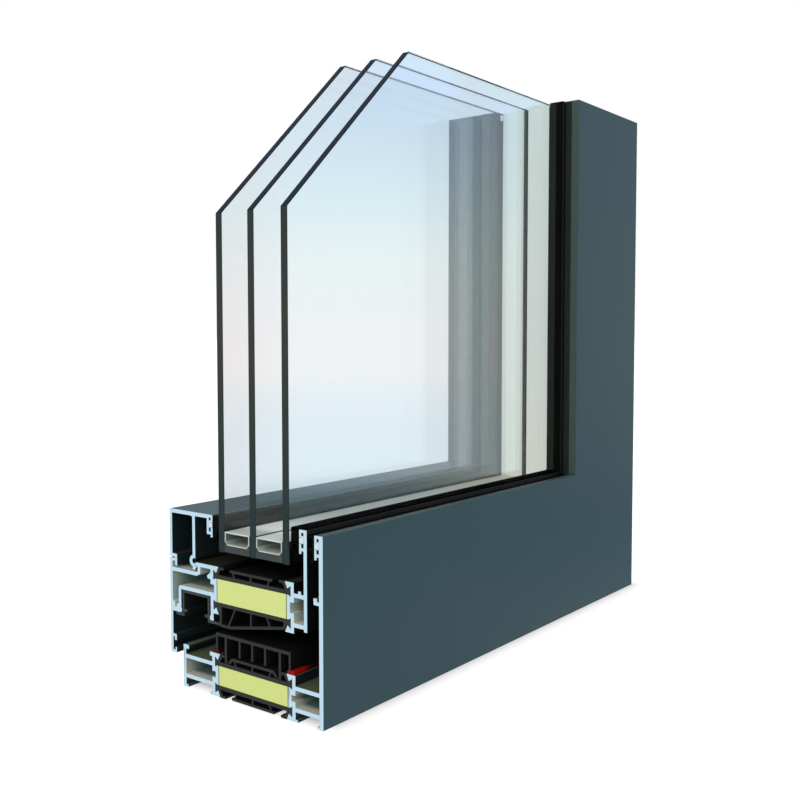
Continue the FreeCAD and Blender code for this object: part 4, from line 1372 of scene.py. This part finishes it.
@dataclass(frozen=True)
class Sky:
    """White behind the object, a soft sky for reflections and a plain fill for the rest."""

    fill: float = 0.75
    reach: float = 0.5
    tones: tuple[tuple[float, Colour], ...] = (
        (0.0, WHITE), (0.15, (0.935, 1.0, 1.0)), (0.268, (0.83, 0.966, 1.0)),
        (0.456, (0.72, 0.87, 0.99)), (0.8, (0.64, 0.74, 0.85)))
    front_tone: Colour = (0.88, 0.8, 0.95)
    front_ahead: Range = (0.1, 0.4)
    front_rise: Range = (0.08, 0.26)
    side_tone: Colour = (1.0, 0.93, 0.86)
    side_bearing: float = 1.45
    side_blur: float = 0.05
    side_rise: Range = (0.1, 0.2)
    jamb: JambImage = JambImage()
    jamb_blur: float = 0.05

    def build(self) -> None:
        """Make the world."""
        world = bpy.data.worlds.new("studio")
        bpy.context.scene.world = world
        world.use_nodes = True
        tree = Tree(world.node_tree)
        seen = tree.ray("Is Camera Ray")
        mirrored = tree.ray("Is Glossy Ray", "Is Transmission Ray")
        light = tree.add("ShaderNodeBackground", None, {
            "Color": tree.mix(mirrored * (1 - seen), WHITE, self._image(tree)),
            "Strength": seen.most(mirrored).span((self.fill, 1.0)),
        })
        tree.add("ShaderNodeOutputWorld", None, {"Surface": light.outputs[0]})

    def _image(self, tree: Tree) -> bpy.types.NodeSocket:
        """Work out what glass and metal mirror of the sky.

        Args:
            tree: The world's nodes.

        Returns:
            The colour.
        """
        right, ahead, up = tree.direction()
        share = up * (1 / self.reach)
        sky = tree.add("ShaderNodeValToRGB", {"stops": self.tones}, {0: share}).outputs[0]
        front = (-ahead).rise(*self.front_ahead) * up.rise(*self.front_rise)
        sky = tree.tint(sky, tree.mix(front, WHITE, self.front_tone))
        aside = (right - ahead * self.side_bearing).rise(0.0, self.side_blur)
        side = aside * ahead.above(0.0) * up.rise(*self.side_rise)
        sky = tree.tint(sky, tree.mix(side, WHITE, self.side_tone))
        return self.jamb.tint(sky, right, ahead, self.jamb_blur)


@dataclass(frozen=True)
class Lamp:
    """A square soft lamp that faces the object and shows in no glass or metal."""

    name: str
    place: Point
    power: float
    size: float = 1.6
    aim: Point = (0.0, 0.0, 0.12)

    def build(self) -> None:
        """Make the lamp."""
        data = bpy.data.lights.new(self.name, "AREA")
        data.shape = "SQUARE"
        data.size = self.size
        data.energy = self.power
        lamp = bpy.data.objects.new(self.name, data)
        bpy.context.scene.collection.objects.link(lamp)
        lamp.location = self.place
        aim = Vector(self.aim) - Vector(self.place)
        lamp.rotation_euler = aim.to_track_quat("-Z", "Y").to_euler()
        lamp.visible_camera = False
        lamp.visible_glossy = False
        lamp.visible_transmission = False


@dataclass(frozen=True)
class Viewpoint:
    """The camera at the photograph's place and angle.

    The focal length and the centre of the view are shares of the photograph's side.
    """

    eye: Point = (-0.457993, -0.316698, 0.166124)
    yaw: float = math.radians(51.5772)
    pitch: float = math.radians(-3.1137)
    roll: float = math.radians(-0.1005)
    focal: float = 984.891 / IMAGE_SIDE
    centre: Range = (374.496 / IMAGE_SIDE, 388.098 / IMAGE_SIDE)
    sensor: float = 36.0
    clip: Range = (0.01, 200.0)

    def build(self) -> None:
        """Make the camera and set the view."""
        forward = Vector((
            math.sin(self.yaw) * math.cos(self.pitch),
            math.cos(self.yaw) * math.cos(self.pitch),
            math.sin(self.pitch)))
        right = forward.cross(Vector((0.0, 0.0, 1.0))).normalized()
        up = right.cross(forward)
        level_right = right * math.cos(self.roll) + up * math.sin(self.roll)
        level_up = up * math.cos(self.roll) - right * math.sin(self.roll)
        data = bpy.data.cameras.new("camera")
        data.sensor_width = self.sensor
        data.lens = self.focal * self.sensor
        data.shift_x = 0.5 - self.centre[0]
        data.shift_y = self.centre[1] - 0.5
        data.clip_start, data.clip_end = self.clip
        camera = bpy.data.objects.new("camera", data)
        bpy.context.scene.collection.objects.link(camera)
        turn = Matrix((level_right, level_up, -forward)).transposed().to_4x4()
        camera.matrix_world = Matrix.Translation(Vector(self.eye)) @ turn
        bpy.context.scene.camera = camera
        bpy.context.scene.view_settings.view_transform = "Standard"


@dataclass(frozen=True)
class Studio:
    """Pale floor, sky, two large soft lamps and the camera."""

    floor: Floor = Floor()
    sky: Sky = Sky()
    key: Lamp = Lamp("key", (-1.7, -0.6, 1.0), 18.0)
    side: Lamp = Lamp("side", (0.9, -1.9, 0.9), 4.0)
    view: Viewpoint = Viewpoint()

    def build(self) -> None:
        """Make all of it."""
        for item in (self.floor, self.sky, self.key, self.side, self.view):
            item.build()


def main() -> None:
    """Build and dress every sub-assembly, then set up the studio."""
    logging.basicConfig(level=logging.INFO, format="%(message)s")
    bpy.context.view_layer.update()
    for part in (OuterFrame(), Sash(), UnitEdge(), GlassUnit(), Studio()):
        part.build()
        log.info("built %s", type(part).__name__)


if __name__ == "__main__":
    main()
